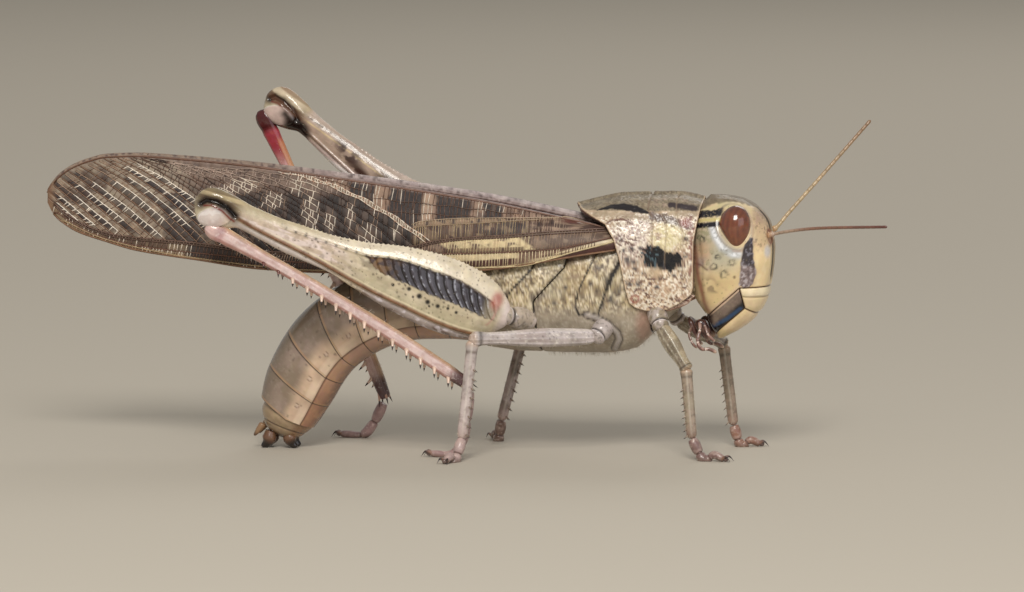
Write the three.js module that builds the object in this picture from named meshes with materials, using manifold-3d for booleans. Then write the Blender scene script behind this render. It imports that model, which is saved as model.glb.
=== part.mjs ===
// A female migratory locust standing and laying eggs, life size, in millimetres.
// X runs forward towards the head, Y to the animal's left, Z up. The floor is at Z = 0.
// The finished group is shifted so that its origin is the middle of its bounding box, on the floor.

import * as THREE from "three";
import { ParametricGeometry } from "three/addons/geometries/ParametricGeometry.js";
import { mergeVertices } from "three/addons/utils/BufferGeometryUtils.js";
import Module from "manifold-3d";

const wasm = await Module();
wasm.setup();

// ---------------------------------------------------------------- driving dimensions

const CUT = 0.12; // width of the thin cuts between neighbouring plates
const WELD = 1e-4; // vertices closer than this are one
const RIGHT = -1; // side of the body, as the sign of Y
const LEFT = 1;
const SIDES = { right: RIGHT, left: LEFT };

const HEAD = { top: 22.88, bottom: 10.45 };
const EYE = { x: 20.1, y: 2.95, z: 20.3, long: 1.42, wide: 1.2, tall: 1.83, lean: 0.2, turn: 0.12 };
const ANTENNA = { thick: 0.27, tip: 0.25, scape: 0.42, steps: 9 };
const PRONOTUM = { front: 17.6, back: 5.2, keel: 0.35, keelWidth: 0.42, shell: 0.16 };
const THORAX = { front: 16.5, back: -2.0 };
const ABDOMEN = { segments: 8, tuck: 0.12, front: -2.12 };
const WING = { base: 9.0, tip: -41.6, thick: 0.5, sink: 0.64 };
const FOLD = { base: -2.3, tip: -29, inset: 1.0, thick: 0.5 };
const SPINES = { count: 10, length: 1.15, radius: 0.2, first: 0.24, last: 0.92 };
const SOLE = 0.0; // the floor

// ---------------------------------------------------------------- materials

function chitin(color, roughness = 0.5) {
  return new THREE.MeshStandardMaterial({ color, roughness, metalness: 0 });
}

const MATERIALS = {
  head: chitin(0xc9b07c, 0.42),
  face: chitin(0xe3cd98, 0.45),
  mandible: chitin(0x2b3348, 0.3),
  mouth: chitin(0x5a3a30, 0.4),
  eye: chitin(0x5e2a1a, 0.15),
  antenna: chitin(0x8a5a48, 0.5),
  pronotum: chitin(0xb49a78, 0.55),
  thorax: chitin(0x9a8c62, 0.55),
  abdomen: chitin(0x9c8066, 0.4),
  valve: chitin(0x3a2a22, 0.35),
  wing: chitin(0x7a6652, 0.6),
  hindwing: chitin(0xb8ab90, 0.5),
  leg: chitin(0x968a78, 0.45),
  femur: chitin(0xd8c89a, 0.45),
  tibia: chitin(0xd9a8a4, 0.42),
  tarsus: chitin(0x6a4438, 0.45),
};

// ---------------------------------------------------------------- geometry helpers

const vec = (x, y, z) => new THREE.Vector3(x, y, z);
const mirrored = (point, side) => vec(point.x, point.y * side, point.z);

// A smooth value through [position, value] pairs in rising order of position, with no overshoot.
function profile(...pairs) {
  const at = pairs.map((p) => p[0]);
  const value = pairs.map((p) => p[1]);
  const slope = at.slice(1).map((x, i) => (value[i + 1] - value[i]) / (x - at[i]));
  const tangent = value.map((_, i) => {
    if (i === 0 || i === value.length - 1) return slope[Math.min(i, slope.length - 1)];
    const [before, after] = [slope[i - 1], slope[i]];
    return before * after <= 0 ? 0 : (2 * before * after) / (before + after);
  });
  return (x) => {
    if (x <= at[0]) return value[0];
    if (x >= at[at.length - 1]) return value[value.length - 1];
    const i = at.findIndex((p, k) => k > 0 && x <= p) - 1;
    const width = at[i + 1] - at[i];
    const t = (x - at[i]) / width;
    return (
      value[i] * (1 + 2 * t) * (1 - t) ** 2 +
      tangent[i] * width * t * (1 - t) ** 2 +
      value[i + 1] * t * t * (3 - 2 * t) +
      tangent[i + 1] * width * t * t * (t - 1)
    );
  };
}

// A closed geometry as a solid that faces outwards.
function solidOf(geometry) {
  const bare = geometry.index ? geometry.toNonIndexed() : geometry.clone();
  bare.deleteAttribute("normal");
  bare.deleteAttribute("uv");
  const merged = mergeVertices(bare, WELD);
  const corner = merged.index.array;
  const faces = [];
  for (let i = 0; i < corner.length; i += 3) {
    const [a, b, c] = [corner[i], corner[i + 1], corner[i + 2]];
    if (a !== b && b !== c && c !== a) faces.push([a, b, c]);
  }
  const build = (order) =>
    new wasm.Manifold(
      new wasm.Mesh({
        numProp: 3,
        vertProperties: merged.attributes.position.array,
        triVerts: Uint32Array.from(faces.flatMap(order)),
      }),
    );
  const made = build((f) => f);
  return made.volume() < 0 ? build(([a, b, c]) => [a, c, b]) : made;
}

function geometryOf(solid) {
  const mesh = solid.getMesh();
  const position = new Float32Array(mesh.numVert * 3);
  for (let i = 0; i < mesh.numVert; i++) {
    position.set(mesh.vertProperties.subarray(i * mesh.numProp, i * mesh.numProp + 3), i * 3);
  }
  const geometry = new THREE.BufferGeometry();
  geometry.setAttribute("position", new THREE.BufferAttribute(position, 3));
  geometry.setIndex(new THREE.BufferAttribute(mesh.triVerts, 1));
  geometry.computeVertexNormals();
  return geometry;
}

// A closed body from rings: ring(t, angle) is a point, t from 0 to 1 along it. The ends are capped.
function ringBody(ring, around, along) {
  const rows = along + 2;
  const surface = (u, v, target) => {
    const row = Math.round(v * rows);
    const step = Math.round(u * around) % around;
    const t = Math.min(Math.max((row - 1) / along, 0), 1);
    if (row > 0 && row < rows) {
      target.copy(ring(t, (step / around) * 2 * Math.PI));
      return;
    }
    target.set(0, 0, 0);
    for (let k = 0; k < around; k++) target.add(ring(t, (k / around) * 2 * Math.PI));
    target.divideScalar(around);
  };
  return solidOf(new ParametricGeometry(surface, around, rows));
}

// A point of a rounded-square oval: 2 is an ellipse, larger is squarer.
function oval(angle, across, up, down, fullness) {
  const [c, s] = [Math.cos(angle), Math.sin(angle)];
  const power = 2 / fullness;
  return {
    across: across * Math.sign(c) * Math.abs(c) ** power,
    up: (s > 0 ? up : down) * Math.sign(s) * Math.abs(s) ** power,
  };
}

// A limb along an axis that may bow. half, rise, drop and bow are functions of the share t along it:
// how far the oval section reaches to each side, above the axis and below it. crowd gathers the rings
// towards the two ends, from 0 for even steps to 1.
function limb({
  from, to, up, half, rise, drop = rise, bow = () => 0, crowd = 0, fullness = 2, around = 8, along = 6,
}) {
  const axis = to.clone().sub(from);
  const side = axis.clone().cross(up).normalize();
  const lift = side.clone().cross(axis).normalize();
  const ring = (step, angle) => {
    const t = THREE.MathUtils.lerp(step, 0.5 - 0.5 * Math.cos(Math.PI * step), crowd);
    const middle = 0.5 * (rise(t) - drop(t)) + bow(t);
    const reach = 0.5 * (rise(t) + drop(t));
    const p = oval(angle, half(t), reach, reach, fullness);
    return from
      .clone()
      .addScaledVector(axis, t)
      .addScaledVector(side, p.across)
      .addScaledVector(lift, p.up + middle);
  };
  return ringBody(ring, around, along);
}

// A round-ended rod between two points, from one radius to another.
function rod(from, to, startRadius, endRadius, around = 6) {
  const radius = (t) => (1 - 0.4 * (2 * t - 1) ** 2) * (startRadius + (endRadius - startRadius) * t);
  return limb({ from, to, up: vec(0.05, 0.3, 1), half: radius, rise: radius, around, along: 2 });
}

// A round body along a smooth curve through points, its radius a function of the share along it.
function tube(points, radius, around, along) {
  const curve = new THREE.CatmullRomCurve3(points);
  const frames = curve.computeFrenetFrames(along, false);
  const ring = (t, angle) => {
    const i = Math.round(t * along);
    return curve
      .getPointAt(t)
      .addScaledVector(frames.normals[i], radius(t) * Math.cos(angle))
      .addScaledVector(frames.binormals[i], radius(t) * Math.sin(angle));
  };
  return ringBody(ring, around, along);
}

function union(solids) {
  return solids.reduce((whole, piece) => whole.add(piece));
}

// The radius of a limb that swells and narrows once in each of its joints, and rounds off at its ends.
function jointed(joints, swell, waist) {
  return (t) => {
    const wave = Math.abs(Math.sin(Math.PI * joints * t));
    const end = t < 0.01 || t > 0.99 ? 0.75 : 1;
    return end * (waist + (swell - waist) * wave);
  };
}

function largest(solid) {
  return solid.decompose().reduce((a, b) => (a.volume() > b.volume() ? a : b));
}

// A prism that stands on an outline in the XZ plane and runs through the whole body along Y.
function prism(outline, halfWidth = 20, centre = 0) {
  const shape = new THREE.Shape(outline.map(([x, z]) => new THREE.Vector2(x, z)));
  const geometry = new THREE.ExtrudeGeometry(shape, {
    depth: 2 * halfWidth,
    bevelEnabled: false,
  });
  geometry.translate(0, 0, -halfWidth);
  geometry.rotateX(Math.PI / 2);
  geometry.translate(0, centre, 0);
  return solidOf(geometry);
}

// A thin wall along a line of points in the XZ plane, to part a body with.
function thinCut(line) {
  const points = line.map(([x, z]) => new THREE.Vector2(x, z));
  const offset = (i, by) => {
    const before = points[Math.max(i - 1, 0)];
    const after = points[Math.min(i + 1, points.length - 1)];
    const along = after.clone().sub(before).normalize();
    return [points[i].x - along.y * by, points[i].y + along.x * by];
  };
  const near = points.map((_, i) => offset(i, CUT / 2));
  const far = points.map((_, i) => offset(i, -CUT / 2)).reverse();
  return prism([...near, ...far]);
}

function block(x0, x1, y0, y1, z0, z1) {
  const geometry = new THREE.BoxGeometry(x1 - x0, y1 - y0, z1 - z0);
  geometry.translate((x0 + x1) / 2, (y0 + y1) / 2, (z0 + z1) / 2);
  return solidOf(geometry);
}

const UNDERGROUND = block(-60, 60, -60, 60, -20, SOLE);

const animal = new THREE.Group();

function add(name, solid, material) {
  const mesh = new THREE.Mesh(geometryOf(solid), material);
  mesh.name = name;
  animal.add(mesh);
  return solid;
}

// ---------------------------------------------------------------- thorax

const thoraxTop = profile(
  [-2, 18.4], [1, 19.0], [5, 19.5], [9, 20.6], [12, 21.6], [14, 21.5], [16.2, 20.6],
);
const thoraxKeel = profile(
  [-2, 9.3], [1, 8.95], [8.5, 8.85], [11, 9.3], [12.6, 10.6], [14, 12.0], [16.2, 13.9],
);
const thoraxHalf = profile([-2, 3.75], [1, 4.1], [5, 4.25], [9, 4.05], [12, 3.55], [14, 3.2], [16.2, 2.7]);

function thoraxSolid(swell) {
  const { front, back } = THORAX;
  const ring = (t, angle) => {
    const x = back - swell + (front - back + 2 * swell) * t;
    const middle = 0.5 * (thoraxTop(x) + thoraxKeel(x));
    const reach = 0.5 * (thoraxTop(x) - thoraxKeel(x)) + swell;
    const p = oval(angle, thoraxHalf(x) + swell, reach, reach, 2.5);
    return vec(x, p.across, middle + p.up);
  };
  return ringBody(ring, 16, 8);
}

const PROTHORAX_SEAM = [[12.7, 24], [12.7, 7]];
const METATHORAX_SEAM = [[7.6, 24], [5.2, 16.6], [2.5, 13.6], [3.1, 7]];

// The three rings of the trunk, hollowed where the wings lie on it and the hips go in.
function makeThorax(room) {
  const parts = thoraxSolid(0)
    .subtract(union([thinCut(PROTHORAX_SEAM), thinCut(METATHORAX_SEAM), room]))
    .decompose()
    .filter((part) => part.volume() > 5)
    .sort((a, b) => b.boundingBox().max[0] - a.boundingBox().max[0]);
  ["prothorax", "mesothorax", "metathorax"].forEach((name, i) => {
    add(name, parts[i], MATERIALS.thorax);
  });
}

// ---------------------------------------------------------------- pronotum

const crestHeight = profile([5.2, 21.6], [8.3, 22.4], [10, 22.72], [12, 22.8], [15, 22.85], [17.6, 22.3]);
const saddleHalf = profile([5.2, 3.9], [9, 4.45], [11.8, 4.15], [14, 3.85], [17.6, 3.6]);
const SADDLE = { middle: 17.2, depth: 7.0, fullness: 2.7 };

function pronotumSolid() {
  const { front, back, keel, keelWidth } = PRONOTUM;
  const ring = (t, angle) => {
    const x = back + (front - back) * t;
    const p = oval(angle, saddleHalf(x), crestHeight(x) - SADDLE.middle, SADDLE.depth, SADDLE.fullness);
    const ridge = p.up > 0 ? keel * Math.exp(-((p.across / keelWidth) ** 2)) : 0;
    return vec(x, p.across, SADDLE.middle + p.up + ridge);
  };
  return ringBody(ring, 24, 6);
}

// The saddle seen from the side: its dorsal point, sloping hind edge, rounded lobe and upright front.
const SADDLE_OUTLINE = [
  [5.8, 26], [5.8, 21.95], [8.8, 20.45], [9.62, 19.1], [10.14, 17.3], [10.64, 14.7], [10.96, 13.5],
  [12.0, 12.95], [13.6, 12.72], [14.6, 13.05], [16.4, 14.3], [16.62, 16], [16.62, 19], [17.2, 22.6],
  [17.2, 26],
];

function makePronotum(room) {
  const saddle = pronotumSolid()
    .intersect(prism(SADDLE_OUTLINE))
    .subtract(thoraxSolid(PRONOTUM.shell))
    .subtract(room);
  add("pronotum", largest(saddle), MATERIALS.pronotum);
}

// ---------------------------------------------------------------- head

const faceFront = profile(
  [10.45, 18.9], [11.2, 20.3], [12.3, 21.65], [13.8, 22.55], [15.9, 23.1],
  [18.3, 23.3], [20.4, 22.95], [21.8, 21.9], [22.6, 20.5], [22.88, 19.2],
);
const faceBack = profile(
  [10.45, 18.4], [11.2, 17.9], [12.4, 17.3], [14, 16.3], [17, 15.9], [21, 15.9], [22.88, 17.6],
);
const headHalf = profile(
  [10.45, 1.2], [11.2, 1.9], [12.4, 2.5], [13.5, 3.0], [15, 3.45], [17, 3.72],
  [19, 3.7], [20.5, 3.4], [21.8, 2.6], [22.6, 1.5], [22.88, 0.5],
);

// Where the plates of the face meet, seen from the side, and the regions those seams bound.
const SEAM = {
  nape: [14, 12.2], cheek: [17.7, 12.45], brow: [20.6, 14.95], mouth: [21.0, 13.1],
  jaw: [18.3, 10.85], chin: [17.6, 9.6], face: [25, 15.0], lip: [25, 10.7],
};
const FACE_REGIONS = {
  head: [[14, 26], SEAM.nape, SEAM.cheek, SEAM.brow, SEAM.face, [25, 26]],
  clypeus: [SEAM.brow, SEAM.mouth, SEAM.lip, SEAM.face],
  labrum: [SEAM.mouth, SEAM.jaw, SEAM.chin, [17.6, 8], [25, 8], SEAM.lip],
  mandible: [SEAM.nape, SEAM.cheek, SEAM.brow, SEAM.mouth, SEAM.jaw, SEAM.chin, [17.6, 8], [14, 8]],
};
const FACE_SEAMS = [
  [SEAM.nape, SEAM.cheek, SEAM.brow, SEAM.face],
  [SEAM.brow, SEAM.mouth, SEAM.jaw, SEAM.chin],
  [SEAM.mouth, SEAM.lip],
];
// The edge along which the collar of the saddle meets the back of the head.
const NAPE_OUTLINE = [
  [10, 26], [10, 8], [16.3, 8], [16.55, 14.2], [16.77, 16], [16.77, 19], [17.35, 22.6], [17.35, 26],
];

function eyeSolid(side, swell = 0) {
  const geometry = new THREE.SphereGeometry(1, 12, 7);
  geometry.scale(EYE.long + swell, EYE.wide + swell, EYE.tall + swell);
  geometry.rotateY(EYE.lean);
  geometry.rotateZ(side * EYE.turn);
  geometry.translate(EYE.x, side * EYE.y, EYE.z);
  return solidOf(geometry);
}

function headSolid() {
  const { top, bottom } = HEAD;
  const ring = (t, angle) => {
    const z = bottom + (top - bottom) * 0.5 * (1 - Math.cos(Math.PI * t));
    const middle = 0.5 * (faceFront(z) + faceBack(z));
    const p = oval(angle, faceFront(z) - middle, headHalf(z), headHalf(z), 2.45);
    return vec(middle + p.across, p.up, z);
  };
  return ringBody(ring, 20, 10);
}

function makeHead() {
  const sockets = Object.values(SIDES).map((side) => eyeSolid(side, CUT));
  const plates = headSolid()
    .subtract(union([prism(NAPE_OUTLINE), ...FACE_SEAMS.map(thinCut), ...sockets]));
  const plate = (name) => plates.intersect(prism(FACE_REGIONS[name]));
  add("head", largest(plate("head").subtract(antennaSockets())), MATERIALS.head);
  add("clypeus", largest(plate("clypeus")), MATERIALS.face);
  add("labrum", largest(plate("labrum")), MATERIALS.face);
  for (const [name, side] of Object.entries(SIDES)) {
    const half = prism(FACE_REGIONS.mandible, 10, side * (10 + CUT / 2));
    add(`mandible_${name}`, largest(plate("mandible").intersect(half)), MATERIALS.mandible);
    add(`eye_${name}`, eyeSolid(side), MATERIALS.eye);
  }
}

// ---------------------------------------------------------------- antennae

const ANTENNA_ROOT = vec(22.75, 1.15, 19.35);
const ANTENNA_LINES = {
  right: [vec(23.3, -1.25, 19.55), vec(24.6, -1.9, 19.85), vec(27.2, -3.2, 20.25), vec(33.85, -6.2, 20.7)],
  left: [vec(23.3, 1.25, 20.0), vec(24.2, 1.7, 21.1), vec(27.2, 3.2, 24.6), vec(31.1, 5.1, 29.2)],
};

function antennaSockets() {
  const holes = Object.values(SIDES).map((side) => {
    const root = mirrored(ANTENNA_ROOT, side);
    const reach = ANTENNA.scape + CUT;
    const [inside, outside] = [vec(-0.6, 0, 0), vec(1.6, side * 0.3, 0.3)];
    return rod(root.clone().add(inside), root.clone().add(outside), reach, reach);
  });
  return union(holes);
}

function makeAntenna(name, side) {
  const points = [mirrored(ANTENNA_ROOT, side), ...ANTENNA_LINES[name]];
  const radius = profile(
    [0, 0.38], [0.045, ANTENNA.scape], [0.075, 0.3], [0.12, ANTENNA.thick], [1, ANTENNA.tip],
  );
  add(`antenna_${name}`, tube(points, radius, 5, ANTENNA.steps), MATERIALS.antenna);
}

// ---------------------------------------------------------------- mouthparts behind the jaws

const MAXILLA = { root: vec(16.75, 1.75, 12.0), lobe: vec(17.75, 1.3, 10.2) };
const PALP = [
  vec(16.7, 1.75, 11.8), vec(16.5, 2.4, 11.4), vec(16.75, 2.75, 10.3), vec(17.5, 2.75, 9.5),
  vec(18.4, 2.5, 9.1),
];
const LABIUM = { root: vec(15.75, 0, 12.1), tip: vec(16.7, 0, 10.1), half: 0.95, thick: 0.3 };

function makeMouthparts() {
  for (const [name, side] of Object.entries(SIDES)) {
    const lobe = rod(mirrored(MAXILLA.root, side), mirrored(MAXILLA.lobe, side), 0.55, 0.42);
    const palp = tube(PALP.map((point) => mirrored(point, side)), jointed(4, 0.32, 0.26), 5, 8);
    add(`maxilla_${name}`, lobe.add(palp), MATERIALS.mouth);
  }
  const plate = limb({
    from: LABIUM.root,
    to: LABIUM.tip,
    up: vec(1, 0, 0.3),
    half: () => LABIUM.half,
    rise: () => LABIUM.thick,
    fullness: 3,
    along: 2,
  });
  add("labium", plate, MATERIALS.mouth);
}

// ---------------------------------------------------------------- abdomen

const SPINE = new THREE.CatmullRomCurve3([
  vec(-2.2, 0, 13.95), vec(-6, 0, 13.6), vec(-10, 0, 13.0), vec(-13.3, 0, 11.75),
  vec(-15.9, 0, 10.0), vec(-17.35, 0, 8.4), vec(-18.8, 0, 5.9), vec(-20.1, 0, 2.8),
]);
const bellyDepth = profile(
  [0, 4.4], [0.17, 3.8], [0.35, 3.5], [0.6, 3.4], [0.85, 3.25], [0.95, 2.9], [1, 2.6],
);
const bellyHalf = profile([0, 3.7], [0.17, 3.5], [0.5, 3.15], [0.8, 3.0], [1, 2.45]);

// A length of abdomen from a share of the spine to another. Its front is tucked under the plate ahead.
function abdomenLength(start, end, tuck) {
  const ring = (t, angle) => {
    const s = start + (end - start) * t;
    const along = SPINE.getTangentAt(s);
    const dorsal = vec(along.z, 0, -along.x);
    const swell = -tuck * (1 - t) ** 2;
    const p = oval(angle, bellyHalf(s) + swell, bellyDepth(s) + swell, bellyDepth(s) + swell, 2.25);
    return SPINE.getPointAt(s).add(vec(0, p.across, 0)).addScaledVector(dorsal, p.up);
  };
  return ringBody(ring, 16, 2);
}

function makeAbdomen() {
  const gap = CUT / SPINE.getLength();
  for (let i = 0; i < ABDOMEN.segments; i++) {
    const start = i / ABDOMEN.segments + gap / 2;
    const end = (i + 1) / ABDOMEN.segments - gap / 2;
    const ring = abdomenLength(start, end, i ? ABDOMEN.tuck : 0);
    add(`abdomen_${i + 1}`, ring.subtract(block(ABDOMEN.front, 5, -9, 9, 5, 25)), MATERIALS.abdomen);
  }
}

// The last short segments with the cerci, and the two pairs of egg-laying valves.
const TIP = { from: vec(-20.16, 0, 2.62), to: vec(-20.8, 0, 1.0), half: 2.2, depth: 2.35 };
const CERCUS = { root: vec(-22.1, 1.0, 2.2), end: vec(-22.9, 1.2, 1.2), radius: 0.3 };
const VALVES = {
  upper: { root: vec(-21.5, 0.75, 1.3), end: vec(-22.0, 0.72, -0.3), radius: 0.62 },
  lower: { root: vec(-19.9, 0.75, 1.3), end: vec(-19.4, 0.72, -0.3), radius: 0.6 },
};

function makeAbdomenTip() {
  const taper = profile([0, 1], [0.5, 0.86], [1, 0.5]);
  const stump = limb({
    from: TIP.from,
    to: TIP.to,
    up: vec(-1, 0, 0),
    half: (t) => TIP.half * taper(t),
    rise: (t) => TIP.depth * taper(t),
    around: 12,
    along: 2,
  });
  const cerci = Object.values(SIDES).map((side) =>
    rod(mirrored(CERCUS.root, side), mirrored(CERCUS.end, side), CERCUS.radius, 0.16, 5),
  );
  const valves = [];
  for (const [level, { root, end, radius }] of Object.entries(VALVES)) {
    for (const [name, side] of Object.entries(SIDES)) {
      const valve = rod(mirrored(root, side), mirrored(end, side), radius, radius * 0.8);
      valves.push([`valve_${level}_${name}`, valve.subtract(UNDERGROUND)]);
    }
  }
  const socket = ({ root, end, radius }, side) =>
    rod(mirrored(root, side), mirrored(end, side), radius + CUT, radius + CUT);
  const room = union(
    Object.values(VALVES).flatMap((valve) => [socket(valve, RIGHT), socket(valve, LEFT)]),
  );
  add("abdomen_tip", largest(union([stump, ...cerci]).subtract(room)), MATERIALS.abdomen);
  for (const [name, valve] of valves) add(name, valve, MATERIALS.valve);
}

// ---------------------------------------------------------------- wings

const wingTop = profile(
  [-41.6, 22.55], [-41.1, 23.3], [-40.5, 24.0], [-39.2, 24.85], [-37.8, 25.4], [-36.4, 25.75],
  [-33.7, 25.87], [-29.6, 25.68], [-24.2, 25.3], [-17.1, 24.57], [-2.85, 22.77], [5, 21.3], [9, 20.4],
);
const wingLow = profile(
  [-41.6, 21.5], [-41, 20.45], [-40.1, 19.68], [-38.7, 18.92], [-36.1, 18.15], [-33.3, 17.45],
  [-27.7, 16.75], [-21.9, 16.05], [-16, 15.85], [-6, 15.9], [0, 16.5], [4, 17.2], [7, 17.9], [9, 18.6],
);
const shelfHalf = profile([-41.6, 0.4], [-34, 0.55], [-25, 1.1], [-15, 2.0], [-5, 2.8], [4, 3.1], [9, 3.0]);
const hemHalf = profile([-41.6, 0.5], [-36, 1.5], [-28, 2.9], [-16, 3.8], [-4, 4.2], [4, 4.5], [9, 4.2]);
const wingLap = profile([-41.6, -0.33], [-34, -0.33], [-27, 0.1], [-15, 0.8], [4, 1.0], [9, 0.9]);
const wingSettle = profile([-41.6, 0], [-34, 0], [-30, WING.sink], [9, WING.sink]);

// The fold line of the wing, between its flat shelf on the back and its steep side.
function foldLine(x) {
  return { y: shelfHalf(x), z: wingTop(x) - 0.1 - 0.12 * shelfHalf(x) };
}

// A point of a wing's middle surface: across 0 is the inner edge, past the midline, 1 the lower edge.
// The right wing is the one underneath.
function wingPoint(x, across, side) {
  const fold = foldLine(x);
  const low = { y: hemHalf(x), z: wingLow(x) };
  const share = 0.32; // of the section's steps lie on the shelf
  if (across < share) {
    const t = across / share;
    const inner = -wingLap(x);
    const settle = side === RIGHT ? wingSettle(x) * (1 - THREE.MathUtils.smoothstep(t, 0.5, 1)) : 0;
    const z = wingTop(x) - settle + (fold.z - wingTop(x)) * t * t;
    return vec(x, side * (inner + (fold.y - inner) * t), z);
  }
  const t = (across - share) / (1 - share);
  const bulge = 0.15 * Math.sin(Math.PI * t) * (low.y - 0.4);
  return vec(x, side * (fold.y + (low.y - fold.y) * t + bulge), fold.z + (low.z - fold.z) * t);
}

// A sheet of even thickness on each side of a surface, closed at its rim.
function sheet(surface, thick, along, across) {
  const step = 1e-3;
  const offsetPoint = (u, v, by) => {
    const a = surface(Math.min(u + step, 1), v).sub(surface(Math.max(u - step, 0), v));
    const b = surface(u, Math.min(v + step, 1)).sub(surface(u, Math.max(v - step, 0)));
    return surface(u, v).addScaledVector(a.cross(b).normalize(), by);
  };
  const ring = (t, angle) => {
    const turn = (angle / (2 * Math.PI)) * 2 * (across + 1);
    const i = Math.round(turn);
    const near = i <= across;
    const v = near ? i / across : (2 * across + 1 - i) / across;
    return offsetPoint(t, v, near ? thick / 2 : -thick / 2);
  };
  return ringBody(ring, 2 * (across + 1), along);
}

function wingSolid(side, from, to, extra, along, across) {
  const surface = (u, v) => wingPoint(from + (to - from) * (1 - (1 - u) ** 1.5), v, side);
  return sheet(surface, WING.thick + 2 * extra, along, across);
}

function makeWing(name, side) {
  add(`forewing_${name}`, wingSolid(side, WING.base, WING.tip, 0, 12, 6), MATERIALS.wing);
}

// The hind wings, folded into narrow fans between the forewings and the abdomen.
function makeHindwing(name, side) {
  const surface = (u, v) => {
    const outer = wingPoint(FOLD.base + (FOLD.tip - FOLD.base) * u, 0.5 + 0.4 * v, side);
    return outer.sub(vec(0, side * FOLD.inset, 0));
  };
  add(`hindwing_${name}`, sheet(surface, FOLD.thick, 7, 2), MATERIALS.hindwing);
}

// ---------------------------------------------------------------- legs

// Joints of the walking legs: hip, end of the hip piece, knee, ankle, sole and toe.
const WALKING = {
  fore_right: {
    hip: vec(13.1, -2.7, 13.0), elbow: vec(13.75, -3.85, 11.6), knee: vec(16.15, -5.0, 8.1),
    ankle: vec(16.75, -5.5, 1.9), sole: vec(17.9, -5.7, 0.1), toe: vec(19.6, -6.1, 0.25), thick: 0.78,
  },
  fore_left: {
    hip: vec(13.3, 2.7, 13.0), elbow: vec(14.2, 3.85, 11.5), knee: vec(18.0, 6.0, 9.2),
    ankle: vec(18.85, 6.5, 1.9), sole: vec(19.55, 6.6, 0.1), toe: vec(21.1, 7.0, 0.25), thick: 0.78,
  },
  mid_right: {
    hip: vec(8.9, -3.5, 11.6), elbow: vec(8.2, -4.6, 10.65), knee: vec(-2.1, -8.5, 10.66),
    ankle: vec(-3.0, -9.0, 1.9), sole: vec(-3.5, -10.0, 0.1), toe: vec(-4.0, -11.6, 0.25), thick: 0.82,
  },
  mid_left: {
    hip: vec(8.9, 3.5, 11.6), elbow: vec(8.2, 4.6, 10.65), knee: vec(0.0, 8.2, 10.6),
    ankle: vec(-2.1, 7.2, 1.9), sole: vec(-2.5, 8.0, 0.1), toe: vec(-3.2, 9.6, 0.25), thick: 0.82,
  },
};

// A foot of three joints and two claws, down from the ankle and along the floor, flat where it stands.
function footSolid(points) {
  const [toe, before] = [points[points.length - 1], points[points.length - 2]];
  const along = toe.clone().sub(before).setZ(0).normalize();
  const across = vec(-along.y, along.x, 0);
  const claws = [-1, 1].map((side) => {
    const root = toe.clone().addScaledVector(along, -0.15);
    const end = toe.clone().addScaledVector(along, 0.8).addScaledVector(across, 0.45 * side).setZ(0.22);
    return rod(root, end, 0.3, 0.24, 4);
  });
  return union([tube(points, jointed(3, 0.46, 0.32), 5, 6), ...claws]).subtract(UNDERGROUND);
}

const toward = (from, to, by) => from.clone().addScaledVector(to.clone().sub(from).normalize(), by);

function walkingHip({ hip, elbow, thick }, extra = 0) {
  return rod(hip, elbow, thick + 0.12 + extra, thick + extra);
}

function makeWalkingLeg(name, leg) {
  const { elbow, knee, ankle, sole, toe, thick } = leg;
  const femur = limb({
    from: elbow,
    to: toward(knee, elbow, -0.2),
    up: vec(0, 0, 1),
    half: profile([0, 0.4], [0.08, 0.56], [0.4, 0.62], [0.85, 0.5], [0.95, 0.56], [1, 0.4]),
    rise: profile(
      [0, 0.45], [0.08, 0.85 * thick], [0.4, thick], [0.85, 0.68 * thick], [0.95, 0.8 * thick], [1, 0.45],
    ),
    along: 5,
  });
  const shin = limb({
    from: knee,
    to: toward(ankle, knee, CUT),
    up: vec(1, 0, 0),
    half: profile([0, 0.3], [0.06, 0.44], [0.15, 0.38], [1, 0.36]),
    rise: profile([0, 0.35], [0.06, 0.56], [0.15, 0.5], [1, 0.46]),
    along: 4,
  });
  const kneeRoom = rod(toward(knee, ankle, -0.6), toward(knee, ankle, 2.2), 0.56 + CUT, 0.56 + CUT, 5);
  add(`${name}_coxa`, walkingHip(leg), MATERIALS.leg);
  add(`${name}_femur`, largest(femur.subtract(walkingHip(leg, CUT)).subtract(kneeRoom)), MATERIALS.leg);
  add(`${name}_tibia`, shin, MATERIALS.leg);
  const bridge = sole.clone().lerp(toe, 0.5).add(vec(0, 0, 0.25));
  const foot = footSolid([toward(ankle, sole, CUT), sole, bridge, toe]);
  add(`${name}_tarsus`, foot, MATERIALS.tarsus);
}

// Joints of the jumping legs: the knee is high, the shin runs forward and down, the foot points back.
const JUMPING = {
  right: {
    hip: vec(2.3, -3.2, 11.9), base: vec(0.15, -5.5, 12.5), knee: vec(-25.45, -9.8, 21.45),
    shin: vec(-25.5, -9.8, 20.35), ankle: vec(-2.6, -6.6, 6.3), heel: vec(-3.4, -6.4, 1.5),
    sole: vec(-4.4, -6.3, 0.3), toe: vec(-6.2, -6.1, 0.32),
  },
  left: {
    hip: vec(2.3, 3.2, 11.9), base: vec(0.0, 5.6, 14.2), knee: vec(-22.65, 7.4, 29.4),
    shin: vec(-23.9, 7.4, 29.4), ankle: vec(-12.75, 8.4, 3.6), heel: vec(-14.0, 8.6, 1.2),
    sole: vec(-14.9, 8.7, 0.3), toe: vec(-16.9, 8.9, 0.32),
  },
};

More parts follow.
